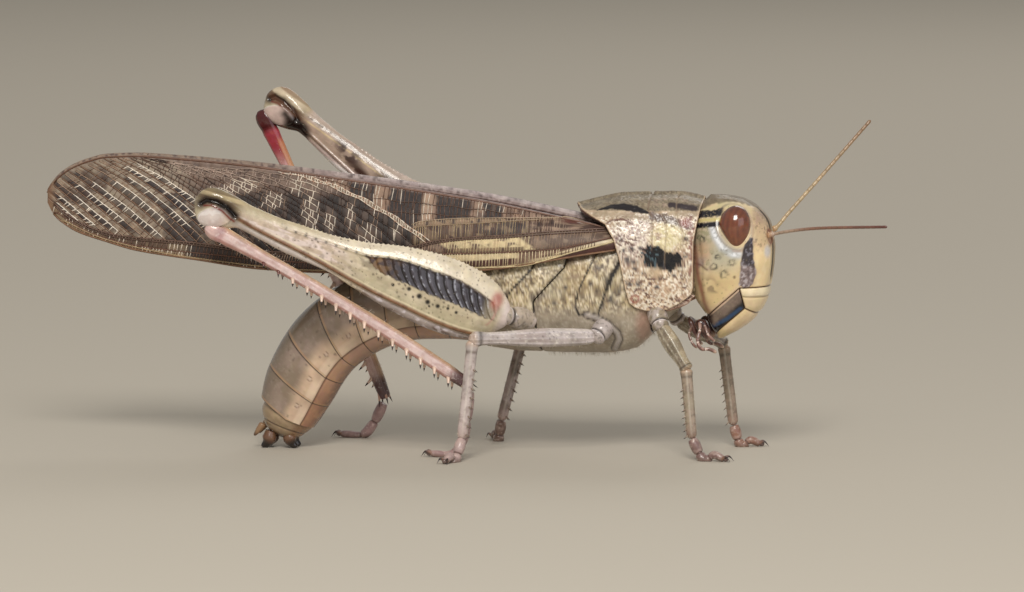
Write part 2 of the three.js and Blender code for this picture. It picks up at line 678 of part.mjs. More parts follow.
// How far the thigh reaches above and below its axis, to each side, and past its two joints.
const THIGH = { before: 0.75, past: 1.25 };
const thighRise = profile(
  [0, 0.35], [0.03, 1.4], [0.07, 2.3], [0.14, 2.95], [0.23, 3.2], [0.35, 2.9], [0.5, 1.97],
  [0.62, 1.66], [0.72, 1.68], [0.83, 1.9], [0.9, 2.27], [0.945, 2.4], [0.975, 2.15], [1, 1.3],
);
const thighDrop = profile(
  [0, 0.6], [0.05, 2.0], [0.1, 2.97], [0.2, 3.3], [0.33, 2.93], [0.46, 2.12], [0.57, 1.38],
  [0.7, 1.05], [0.79, 0.62], [0.855, 0.36], [0.89, 0.72], [0.935, 1.02], [0.97, 0.9], [1, -0.1],
);
const thighHalf = profile(
  [0, 0.5], [0.05, 1.0], [0.18, 1.25], [0.4, 0.9], [0.7, 0.5], [0.85, 0.65], [0.93, 0.85], [1, 0.4],
);

function thighSolid({ base, knee }) {
  return limb({
    from: toward(base, knee, -THIGH.before),
    to: toward(knee, base, -THIGH.past),
    up: vec(0, 0, 1),
    half: thighHalf,
    rise: thighRise,
    drop: thighDrop,
    fullness: 1.8,
    crowd: 0.8,
    around: 12,
    along: 12,
  });
}

// The shin of a jumping leg, with its two rows of spines along the side away from the thigh.
function jumpingShin({ shin, ankle, base }, extra = 0) {
  const axis = ankle.clone().sub(shin).normalize();
  const thigh = base.clone().sub(shin).normalize();
  const side = thigh.clone().cross(axis).normalize();
  const away = axis.clone().cross(side).normalize();
  if (away.dot(thigh) > 0) away.negate();
  const length = ankle.distanceTo(shin);
  const bow = (t) => 0.4 * Math.sin(Math.PI * t);
  const at = (t) => shin.clone().addScaledVector(axis, length * t).addScaledVector(away, -bow(t));
  const shaft = limb({
    from: shin,
    to: ankle,
    up: away.clone().negate(),
    bow,
    half: profile(
      [0, 0.4 + extra], [0.04, 0.56 + extra], [0.12, 0.48 + extra], [0.8, 0.46], [0.95, 0.58], [1, 0.42],
    ),
    rise: profile(
      [0, 0.5 + extra], [0.035, 0.85 + extra], [0.12, 0.72 + extra], [0.25, 0.58], [0.9, 0.66], [1, 0.5],
    ),
    around: 6,
    along: 6,
  });
  if (extra) return shaft;
  const spines = [];
  for (let i = 0; i < SPINES.count; i++) {
    const t = SPINES.first + ((SPINES.last - SPINES.first) * i) / (SPINES.count - 1);
    const long = SPINES.length * (0.6 + 0.4 * Math.min(1, i / 5));
    for (const hand of [-1, 1]) {
      const root = at(t + 0.008 * hand).addScaledVector(away, 0.35).addScaledVector(side, 0.22 * hand);
      const lean = away.clone().multiplyScalar(0.85).addScaledVector(side, 0.5 * hand);
      lean.addScaledVector(axis, 0.45);
      spines.push(spike(root, lean.normalize(), long));
    }
  }
  for (const hand of [-1, 1]) {
    for (const inner of [0, 1]) {
      const root = at(0.975).addScaledVector(side, 0.2 * hand).addScaledVector(away, 0.3 - 0.55 * inner);
      const lean = axis.clone().addScaledVector(side, 0.35 * hand);
      lean.addScaledVector(away, 0.35 - 0.3 * inner);
      spines.push(spike(root, lean.normalize(), SPINES.length * 1.25));
    }
  }
  return union([shaft, ...spines]);
}

function spike(root, direction, length) {
  const geometry = new THREE.ConeGeometry(SPINES.radius, length, 3, 1);
  geometry.translate(0, length / 2, 0);
  geometry.applyQuaternion(new THREE.Quaternion().setFromUnitVectors(vec(0, 1, 0), direction));
  geometry.translate(root.x, root.y, root.z);
  return solidOf(geometry);
}

function jumpingFoot({ ankle, heel, sole, toe }) {
  return footSolid([toward(ankle, heel, 0.5), heel, sole, toe]);
}

// ---------------------------------------------------------------- assembly

const jumpingHip = ({ hip, base }, extra = 0) => rod(hip, base, 0.95 + extra, 0.85 + extra);

const hipRoom = union([
  ...Object.values(WALKING).map((leg) => walkingHip(leg, CUT)),
  ...Object.values(JUMPING).map((leg) => jumpingHip(leg, CUT)),
]);
const wingRoom = union(Object.values(SIDES).map((side) => wingSolid(side, 9.2, -4, CUT, 3, 6)));

makeThorax(hipRoom.add(wingRoom));
makePronotum(hipRoom.add(wingRoom));
makeHead();
makeMouthparts();
makeAbdomen();
makeAbdomenTip();
for (const [name, side] of Object.entries(SIDES)) {
  makeAntenna(name, side);
  makeWing(name, side);
  makeHindwing(name, side);
}
for (const [name, leg] of Object.entries(WALKING)) makeWalkingLeg(name, leg);
for (const [name, leg] of Object.entries(JUMPING)) {
  const room = jumpingHip(leg, CUT).add(jumpingShin(leg, CUT));
  add(`hind_${name}_coxa`, jumpingHip(leg), MATERIALS.leg);
  add(`hind_${name}_femur`, largest(thighSolid(leg).subtract(room)), MATERIALS.femur);
  add(`hind_${name}_tibia`, jumpingShin(leg), MATERIALS.tibia);
  add(`hind_${name}_tarsus`, jumpingFoot(leg), MATERIALS.tarsus);
}

const box = new THREE.Box3().setFromObject(animal);
const middle = box.getCenter(vec(0, 0, 0));
animal.position.set(-middle.x, -middle.y, -box.min.z);

export default animal;
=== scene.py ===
# Looks for a life-size female migratory locust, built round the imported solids.
# Shapes are worked out in millimetres with X to the head, Y to the animal's left and the floor at Z = 0,
# and are then moved by SHIFT into the row frame and turned into metres.
import math

import bpy
import numpy as np
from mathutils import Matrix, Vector


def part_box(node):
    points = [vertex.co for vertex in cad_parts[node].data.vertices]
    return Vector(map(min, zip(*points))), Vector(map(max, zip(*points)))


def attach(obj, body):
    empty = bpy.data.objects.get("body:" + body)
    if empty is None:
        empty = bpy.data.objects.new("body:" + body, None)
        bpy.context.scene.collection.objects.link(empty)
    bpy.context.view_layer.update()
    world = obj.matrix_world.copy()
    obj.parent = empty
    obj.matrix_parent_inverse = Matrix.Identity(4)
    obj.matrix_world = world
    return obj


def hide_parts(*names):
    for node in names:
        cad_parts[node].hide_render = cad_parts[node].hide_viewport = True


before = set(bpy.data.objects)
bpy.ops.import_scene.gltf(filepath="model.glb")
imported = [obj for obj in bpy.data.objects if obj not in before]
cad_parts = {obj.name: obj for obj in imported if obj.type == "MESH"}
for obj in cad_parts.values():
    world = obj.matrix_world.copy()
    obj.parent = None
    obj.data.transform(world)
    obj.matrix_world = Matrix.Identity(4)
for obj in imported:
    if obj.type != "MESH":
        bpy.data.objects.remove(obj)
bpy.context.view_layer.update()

RIGHT, LEFT = -1, 1
SIDES = {"right": RIGHT, "left": LEFT}
EYE = {"x": 20.1, "y": 2.95, "z": 20.3, "long": 1.42, "wide": 1.2, "tall": 1.83, "lean": 0.2, "turn": 0.12}
eye_low, eye_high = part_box("eye_right")
SHIFT = np.array((eye_low + eye_high) / 2) * 1000 - np.array([EYE["x"], -EYE["y"], EYE["z"]])


# ---------------------------------------------------------------- numbers and noise


def vec(*numbers):
    return np.array(numbers, float)


def unit(v):
    return v / np.maximum(np.linalg.norm(v, axis=-1, keepdims=True), 1e-9)


def profile(*pairs):
    """A smooth value through (position, value) pairs, with no overshoot."""
    at, value = np.array(pairs, float).T
    slope = np.diff(value) / np.diff(at)
    tangent = np.concatenate([slope[:1], np.zeros(len(at) - 2), slope[-1:]])
    for i in range(1, len(at) - 1):
        before, after = slope[i - 1], slope[i]
        if before * after > 0:
            tangent[i] = 2 * before * after / (before + after)

    def at_x(x):
        x = np.clip(x, at[0], at[-1])
        i = np.clip(np.searchsorted(at, x) - 1, 0, len(at) - 2)
        width = at[i + 1] - at[i]
        t = (x - at[i]) / width
        return (
            value[i] * (1 + 2 * t) * (1 - t) ** 2
            + tangent[i] * width * t * (1 - t) ** 2
            + value[i + 1] * t * t * (3 - 2 * t)
            + tangent[i + 1] * width * t * t * (t - 1)
        )

    return at_x


def smooth(x, low, high):
    t = np.clip((x - low) / (high - low), 0, 1)
    return t * t * (3 - 2 * t)


def band(x, low, high, soft):
    """1 between low and high, with soft edges outside them."""
    return smooth(x, low - soft, low) * (1 - smooth(x, high, high + soft))


def hashed(cells, seed):
    """A number from 0 to 1 for each row of whole numbers."""
    h = np.full(cells.shape[:-1], seed * 7919 + 17, np.int64)
    for k, prime in zip(range(cells.shape[-1]), (73856093, 19349663, 83492791)):
        h = (h ^ (cells[..., k].astype(np.int64) * prime)) & 0x7FFFFFFF
        h = (h * 48271 + 11) & 0x7FFFFFFF
        h ^= h >> 15
    return (h % 100003) / 100003.0


def noise(points, size, seed=0, octaves=2):
    """Soft lumps of that size, from 0 to 1."""
    total, weight = 0.0, 0.0
    for octave in range(octaves):
        q = points / size * 2**octave
        cell = np.floor(q)
        f = q - cell
        f = f * f * (3 - 2 * f)
        value = 0.0
        for corner in np.ndindex(*(2,) * points.shape[-1]):
            share = np.prod([f[..., k] if c else 1 - f[..., k] for k, c in enumerate(corner)], axis=0)
            value = value + share * hashed(cell + np.array(corner), seed + octave)
        total = total + value * 0.6**octave
        weight += 0.6**octave
    return total / weight


def dots(a, b, pitch, share, radius, seed=0, soft=0.35):
    """Round dots strewn over a plane, one in some of its square cells."""
    q = np.stack(np.broadcast_arrays(a, b), -1) / pitch
    base = np.floor(q)
    found = np.zeros(q.shape[:-1])
    for step in np.ndindex(3, 3):
        cell = base + np.array(step) - 1
        centre = cell + 0.25 + 0.5 * np.stack([hashed(cell, seed), hashed(cell, seed + 1)], -1)
        reach = radius / pitch * (0.5 + hashed(cell, seed + 2))
        mark = 1 - smooth(np.linalg.norm(q - centre, axis=-1), reach * (1 - soft), reach * (1 + soft))
        found = np.maximum(found, mark * (hashed(cell, seed + 3) < share))
    return found


def to_line(a, b, line):
    """The distance of each point from a line of points in a plane."""
    best = np.full(np.broadcast(a, b).shape, 1e9)
    for (a0, b0), (a1, b1) in zip(line[:-1], line[1:]):
        da, db = a1 - a0, b1 - b0
        t = np.clip(((a - a0) * da + (b - b0) * db) / (da * da + db * db), 0, 1)
        best = np.minimum(best, np.hypot(a - a0 - t * da, b - b0 - t * db))
    return best


def inside(a, b, outline):
    """How far each point is inside a closed outline, below zero outside it."""
    odd = np.zeros(np.broadcast(a, b).shape, bool)
    ring = list(outline) + [outline[0]]
    for (a0, b0), (a1, b1) in zip(ring[:-1], ring[1:]):
        if b0 != b1:
            odd ^= ((b0 > b) != (b1 > b)) & (a < (a1 - a0) * (b - b0) / (b1 - b0) + a0)
    away = to_line(a, b, ring)
    return np.where(odd, away, -away)


def stroke(a, b, line, width):
    """A soft mark along a line."""
    return np.exp(-((to_line(a, b, line) / width) ** 2))


def blot(a, b, a0, b0, across, tall, soft=0.25):
    """A soft oval mark."""
    return 1 - smooth(np.hypot((a - a0) / across, (b - b0) / tall), 1 - soft, 1 + soft)


def rgb(code):
    s = np.array([int(code[i : i + 2], 16) for i in (0, 2, 4)]) / 255
    return np.where(s < 0.04045, s / 12.92, ((s + 0.055) / 1.055) ** 2.4)


class Paint:
    """A colour and a roughness for each point of a surface."""

    def __init__(self, shape, code, rough):
        self.colour = np.broadcast_to(rgb(code), (*shape, 3)).copy()
        self.rough = np.full(shape, float(rough))

    def over(self, mask, code, rough=None):
        mask = np.clip(mask, 0, 1)
        self.colour += (rgb(code) - self.colour) * mask[..., None]
        if rough is not None:
            self.rough += (rough - self.rough) * mask
        return self

    def shade(self, factor):
        self.colour *= factor[..., None]
        return self


# ---------------------------------------------------------------- meshes


class Skin:
    """The points, faces and paint of one piece."""

    def __init__(self):
        self.points, self.faces, self.paint, self.count = [], {3: [], 4: []}, [], 0

    def add(self, points, faces, paint):
        self.points.append(points.reshape(-1, 3))
        for f in faces:
            self.faces[f.shape[1]].append(f + self.count)
        colour = np.concatenate([paint.colour, paint.rough[..., None]], -1).reshape(-1, 4)
        self.paint.append(colour)
        self.count += len(self.points[-1])
        return self


def quads(rows, cols, wrap):
    i = np.arange(rows - 1)[:, None]
    j = np.arange(cols if wrap else cols - 1)[None, :]
    k = (j + 1) % cols
    return np.stack([i * cols + j, i * cols + k, (i + 1) * cols + k, (i + 1) * cols + j], -1).reshape(-1, 4)


def normals(points, wrap=True):
    down = np.gradient(points, axis=0)
    if wrap:
        across = np.roll(points, -1, 1) - np.roll(points, 1, 1)
    else:
        across = np.gradient(points, axis=1)
    return unit(np.cross(across, down))


def facing_out(points, faces, centre_of):
    """Turns the faces so that they face away from the body's own middle line."""
    corner = points.reshape(-1, 3)[faces]
    n = np.cross(corner[:, 1] - corner[:, 0], corner[:, 2] - corner[:, 0])
    out = np.sum(n * (corner.mean(1) - centre_of.reshape(-1, 3)[faces].mean(1)))
    return faces if out > 0 else faces[:, ::-1]


def closed(skin, points, paint, height=None):
    """Adds a tube of rings with both ends capped. height lifts each point off the surface."""
    rows, cols = points.shape[:2]
    centre = np.broadcast_to(points.mean(1, keepdims=True), points.shape)
    if height is not None:
        n = normals(points)
        n = n * np.sign(np.sum(n * (points - centre)))
        points = points + n * height[..., None]
    faces = facing_out(points, quads(rows, cols, True), centre)
    flip = faces[0, 0] != 0
    ends = np.stack([points[0].mean(0), points[-1].mean(0)])
    whole = np.concatenate([points.reshape(-1, 3), ends])
    j = np.arange(cols)
    k = (j + 1) % cols
    last = (rows - 1) * cols
    caps = [np.stack([np.full(cols, rows * cols), k, j], -1),
            np.stack([np.full(cols, rows * cols + 1), last + j, last + k], -1)]
    caps = [c[:, ::-1] if flip else c for c in caps]
    full = Paint((len(whole),), "000000", 0.5)
    full.colour[:-2], full.rough[:-2] = paint.colour.reshape(-1, 3), paint.rough.ravel()
    for i, row in ((-2, 0), (-1, -1)):
        full.colour[i], full.rough[i] = paint.colour[row].mean(0), paint.rough[row].mean()
    return skin.add(whole, [faces, *caps], full)


def shell(skin, points, keep, paint, thick, height=None, wrap=True):
    """Adds the part of a grid where keep is above zero, as a plate of that thickness with an even rim."""
    rows, cols = keep.shape
    n = normals(points, wrap)
    centre = points.reshape(-1, 3).mean(0)
    n = n * np.sign(np.sum(n * (points - centre)))
    if height is not None:
        points = points + n * height[..., None]
    faces = quads(rows, cols, wrap)
    flat = keep.ravel()
    faces = faces[(flat[faces] > 0).any(1)]
    outer, normal = points.reshape(-1, 3).copy(), n.reshape(-1, 3)
    moved = outer.copy()
    best = np.zeros(len(flat))
    for near, far in ((0, 1), (1, 2), (2, 3), (3, 0), (0, 2), (1, 3)):
        for a, b in ((near, far), (far, near)):
            out, into = faces[:, a], faces[:, b]
            ok = (flat[out] <= 0) & (flat[into] > 0)
            out, into = out[ok], into[ok]
            order = np.argsort(flat[into])
            out, into = out[order], into[order]
            better = flat[into] > best[out]
            out, into = out[better], into[better]
            share = -flat[out] / (flat[into] - flat[out])
            moved[out] = outer[out] + (outer[into] - outer[out]) * share[:, None]
            best[out] = flat[into]
    used = np.unique(faces)
    index = np.full(len(flat), -1)
    index[used] = np.arange(len(used))
    faces = index[faces]
    top, under = moved[used], moved[used] - normal[used] * thick
    corner = top[faces]
    turned = np.sum(np.cross(corner[:, 1] - corner[:, 0], corner[:, 2] - corner[:, 0]) * normal[used][faces[:, 0]])
    if turned < 0:
        faces = faces[:, ::-1]
    edge = np.stack([faces, np.roll(faces, -1, 1)], -1).reshape(-1, 2)
    key = edge[:, 0] * len(used) + edge[:, 1]
    back = edge[:, 1] * len(used) + edge[:, 0]
    edge = edge[~np.isin(key, back)]
    m = len(used)
    rim = np.stack([edge[:, 1], edge[:, 0], edge[:, 0] + m, edge[:, 1] + m], -1)
    both = Paint((2 * m,), "000000", 0.5)
    both.colour = np.tile(paint.colour.reshape(-1, 3)[used], (2, 1))
    both.rough = np.tile(paint.rough.ravel()[used], 2)
    return skin.add(np.concatenate([top, under]), [faces, faces[:, ::-1] + m, rim], both)


def material(name, mottle, grain, depth, pits=False, coat=0.0, vary=0.16):
    """Paint from the mesh, mottled and grained. mottle and grain are sizes in mm, depth is in microns."""
    made = bpy.data.materials.new(name)
    made.use_nodes = True
    tree = made.node_tree
    shader = tree.nodes["Principled BSDF"]

    def node(kind, **values):
        n = tree.nodes.new("ShaderNode" + kind)
        for key, value in values.items():
            setattr(n, key, value)
        return n

    coords = node("TexCoord")
    paint = node("Attribute", attribute_name="paint")
    soft = node("TexNoise")
    fine = node("TexNoise")
    lumps = node("TexVoronoi") if pits else node("TexNoise")
    soft.inputs["Scale"].default_value = 1000 / mottle
    soft.inputs["Detail"].default_value = 4
    fine.inputs["Scale"].default_value = 3500 / mottle
    fine.inputs["Detail"].default_value = 2
    lumps.inputs["Scale"].default_value = 1000 / grain
    value = node("MapRange")
    value.inputs["From Min"].default_value, value.inputs["From Max"].default_value = 0.3, 0.7
    value.inputs["To Min"].default_value, value.inputs["To Max"].default_value = 1 - vary, 1 + vary
    hue = node("MapRange")
    hue.inputs["From Min"].default_value, hue.inputs["From Max"].default_value = 0.3, 0.7
    hue.inputs["To Min"].default_value, hue.inputs["To Max"].default_value = 0.492, 0.508
    tint = node("HueSaturation")
    rough = node("Math", operation="MULTIPLY")
    uneven = node("MapRange")
    uneven.inputs["To Min"].default_value, uneven.inputs["To Max"].default_value = 0.8, 1.25
    bump = node("Bump")
    bump.inputs["Strength"].default_value = 1.0
    bump.inputs["Distance"].default_value = depth * 1e-6
    for n in (soft, fine, lumps):
        tree.links.new(coords.outputs["Object"], n.inputs["Vector"])
    height = lumps.outputs["Distance"] if pits else lumps.outputs["Fac"]
    for a, b in (
        (soft.outputs["Fac"], value.inputs["Value"]),
        (fine.outputs["Fac"], hue.inputs["Value"]),
        (value.outputs["Result"], tint.inputs["Value"]),
        (hue.outputs["Result"], tint.inputs["Hue"]),
        (paint.outputs["Color"], tint.inputs["Color"]),
        (tint.outputs["Color"], shader.inputs["Base Color"]),
        (fine.outputs["Fac"], uneven.inputs["Value"]),
        (uneven.outputs["Result"], rough.inputs[0]),
        (paint.outputs["Alpha"], rough.inputs[1]),
        (rough.outputs["Value"], shader.inputs["Roughness"]),
        (height, bump.inputs["Height"]),
        (bump.outputs["Normal"], shader.inputs["Normal"]),
    ):
        tree.links.new(a, b)
    shader.inputs["Coat Weight"].default_value = coat
    shader.inputs["Coat Roughness"].default_value = 0.12
    return made


def piece(name, skin, look, slot, *nodes):
    """Makes the object, lets it ride with the animal and stand for its CAD nodes."""
    mesh = bpy.data.meshes.new(name)
    points = (np.concatenate(skin.points) + SHIFT) * 0.001
    groups = [np.concatenate(f) for f in skin.faces.values() if f]
    corners = np.concatenate([g.ravel() for g in groups])
    sizes = np.concatenate([np.full(len(g), g.shape[1]) for g in groups])
    mesh.vertices.add(len(points))
    mesh.vertices.foreach_set("co", points.astype(np.float32).ravel())
    mesh.loops.add(len(corners))
    mesh.loops.foreach_set("vertex_index", corners.astype(np.int32))
    mesh.polygons.add(len(sizes))
    mesh.polygons.foreach_set("loop_start", np.concatenate([[0], np.cumsum(sizes)[:-1]]).astype(np.int32))
    mesh.update(calc_edges=True)
    mesh.validate()
    mesh.polygons.foreach_set("use_smooth", np.ones(len(mesh.polygons), bool))
    layer = mesh.attributes.new("paint", "FLOAT_COLOR", "POINT")
    layer.data.foreach_set("color", np.clip(np.concatenate(skin.paint), 0, 1).astype(np.float32).ravel())
    mesh.materials.append(look)
    made = bpy.data.objects.new(name, mesh)
    bpy.context.scene.collection.objects.link(made)
    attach(made, "root")
    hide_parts(*nodes)
    return made


# ---------------------------------------------------------------- curves and limbs


def oval(angle, across, up, down, fullness):
    c, s = np.cos(angle), np.sin(angle)
    power = 2 / fullness
    return across * np.sign(c) * np.abs(c) ** power, np.where(s > 0, up, down) * np.sign(s) * np.abs(s) ** power


class Curve:
    """A smooth curve through points, measured by its length. at and along take shares from 0 to 1."""

    def __init__(self, points):
        p = [np.array(q, float) for q in points]
        p = [2 * p[0] - p[1], *p, 2 * p[-1] - p[-2]]
        found = []
        for a, b, c, d in zip(p[:-3], p[1:-2], p[2:-1], p[3:]):
            r, s, t = (np.linalg.norm(v) ** 0.5 for v in (b - a, c - b, d - c))
            into = ((b - a) / r - (c - a) / (r + s) + (c - b) / s) * s
            out = ((c - b) / s - (d - b) / (s + t) + (d - c) / t) * s
            u = np.linspace(0, 1, 40, endpoint=False)[:, None]
            found.append(b + into * u + (3 * (c - b) - 2 * into - out) * u**2 + (2 * (b - c) + into + out) * u**3)
        self.points = np.concatenate([*found, p[-2][None]])
        step = np.linalg.norm(np.diff(self.points, axis=0), axis=1)
        self.share = np.concatenate([[0], np.cumsum(step)])
        self.length = self.share[-1]
        self.share /= self.length

    def at(self, t):
        return np.stack([np.interp(t, self.share, self.points[:, k]) for k in range(3)], -1)

    def along(self, t):
        return unit(self.at(np.clip(t + 0.01, 0, 1)) - self.at(np.clip(t - 0.01, 0, 1)))


def tube(points, radius, around, along, up=(0.05, 0.3, 1)):
    """Rings along a smooth curve. Returns the points, the share along it and the angle of each."""
    curve = Curve(points)
    t, angle = np.meshgrid(np.linspace(0, 1, along + 1), np.arange(around) / around * 2 * np.pi, indexing="ij")
    ahead = curve.along(t)
    side = unit(np.cross(ahead, np.array(up, float)))
    lift = np.cross(side, ahead)
    reach = radius(t)[..., None]
    return curve.at(t) + (side * np.cos(angle)[..., None] + lift * np.sin(angle)[..., None]) * reach, t, angle


class Limb:
    """A straight-axed limb of oval rings. t is the share along it, up and across are in mm off its axis."""

    def __init__(self, start, end, up, half, rise, drop=None, bow=None, fullness=2.0, around=48, along=120,
                 ends=(0.5, 0.5)):
        axis = end - start
        self.length = np.linalg.norm(axis)
        self.ahead = axis / self.length
        self.side = unit(np.cross(self.ahead, up))
        self.lift = np.cross(self.side, self.ahead)
        self.start = start
        drop = drop or rise
        step = np.linspace(0, 1, along + 1)
        t = step * 0.4 + 0.6 * (0.5 - 0.5 * np.cos(np.pi * step))
        self.t, self.angle = np.meshgrid(t, np.arange(around) / around * 2 * np.pi, indexing="ij")
        t = self.t
        middle = 0.5 * (rise(t) - drop(t)) + (bow(t) if bow else 0)
        reach = 0.5 * (rise(t) + drop(t))
        from_ends = (t * self.length / ends[0], (1 - t) * self.length / ends[1])
        dome = np.prod([np.sqrt(np.clip(1 - (1 - np.clip(s, 0, 1)) ** 2, 0.0004, 1)) for s in from_ends], axis=0)
        self.across, self.up = oval(self.angle, half(t) * dome, reach * dome, reach * dome, fullness)
        self.level = self.up / np.maximum(reach, 1e-6)
        self.up = self.up + middle
        self.mm = t * self.length
        self.points = (
            start + self.ahead * self.mm[..., None] + self.side * self.across[..., None] + self.lift * self.up[..., None]
        )


def spikes(skin, roots, ways, lengths, radius, code, tip=None, sides=5, rough=0.4, tip_from=0.55):
    """Thin cones, such as spines and hairs. Their tips may have another colour."""
    roots, ways = np.atleast_2d(roots), unit(np.atleast_2d(ways))
    lengths, radius = np.broadcast_to(lengths, len(roots)), np.broadcast_to(radius, len(roots))
    side = unit(np.cross(ways, vec(0.3, 0.5, 0.81)))
    lift = np.cross(side, ways)
    angle = np.arange(sides) / sides * 2 * np.pi
    levels = [(0, 1.25), (0.25, 0.8), (tip_from, 0.55), (tip_from + 0.06, 0.48), (1, 0.05)]
    rings = [
        roots[:, None] + ways[:, None] * (lengths * a)[:, None, None]
        + (side[:, None] * np.cos(angle)[:, None] + lift[:, None] * np.sin(angle)[:, None]) * (radius * b)[:, None, None]
        for a, b in levels
    ]
    points = np.stack(rings, 1)
    n = len(roots)
    each = np.concatenate([quads(len(levels), sides, True)])
    faces = (each[None] + (np.arange(n) * len(levels) * sides)[:, None, None]).reshape(-1, 4)
    paint = Paint((n, len(levels), sides), code, rough)
    if tip:
        paint.colour[:, 3:] = rgb(tip)
    caps = []
    for row, order in ((0, 1), (len(levels) - 1, -1)):
        ring = np.arange(sides)[::order] + row * sides
        fan = np.stack([np.full(sides - 2, ring[0]), ring[1:-1], ring[2:]], -1)[:, ::-1]
        caps.append((fan[None] + (np.arange(n) * len(levels) * sides)[:, None, None]).reshape(-1, 3))
    skin.add(points, [faces, *caps], paint)


# ---------------------------------------------------------------- finishes

HORN = material("horn", 1.1, 0.16, 10, coat=0.25)
PITTED = material("pitted_horn", 0.7, 0.2, 55, pits=True, coat=0.1, vary=0.22)
POLISHED = material("polished_horn", 1.6, 0.3, 4, coat=0.4, vary=0.1)
GLASSY = material("eye_horn", 0.5, 0.035, 2, coat=1.0, vary=0.12)
PARCHMENT = material("wing_parchment", 0.6, 0.09, 12, vary=0.2)
LEGS = material("leg_horn", 0.9, 0.12, 8, coat=0.3, vary=0.14)


# ---------------------------------------------------------------- thorax

thorax_top = profile((-2, 18.4), (1, 19.0), (5, 19.5), (9, 20.6), (12, 21.6), (14, 21.5), (16.2, 20.6))
thorax_keel = profile((-2, 9.3), (1, 8.95), (8.5, 8.85), (11, 9.3), (12.6, 10.6), (14, 12.0), (16.2, 13.9))
thorax_half = profile((-2, 3.75), (1, 4.1), (5, 4.25), (9, 4.05), (12, 3.55), (14, 3.2), (16.2, 2.7))
SEAMS = {
    "front": [(12.7, 24), (12.7, 7)],
    "back": [(7.6, 24), (5.2, 16.6), (2.5, 13.6), (3.1, 7)],
    "middle": [(10.6, 18.2), (10.13, 17.08), (9.54, 16.1), (9.15, 15.11), (8.76, 14.13), (8.27, 12.65)],
    "rear": [(8.2, 18.2), (7.57, 16.85), (6.88, 15.38), (6.39, 14.29), (6.29, 13.12), (6.6, 12.4), (7.2, 12.5)],
    "hind": [(3.0, 18), (2.3, 16.4), (0.6, 14.6), (-0.6, 12.6)],
}
SOCKET = [(7.2, 12.5), (7.97, 12.26), (9.06, 11.69), (9.85, 10.82), (9.94, 10.23), (9.45, 9.34)]


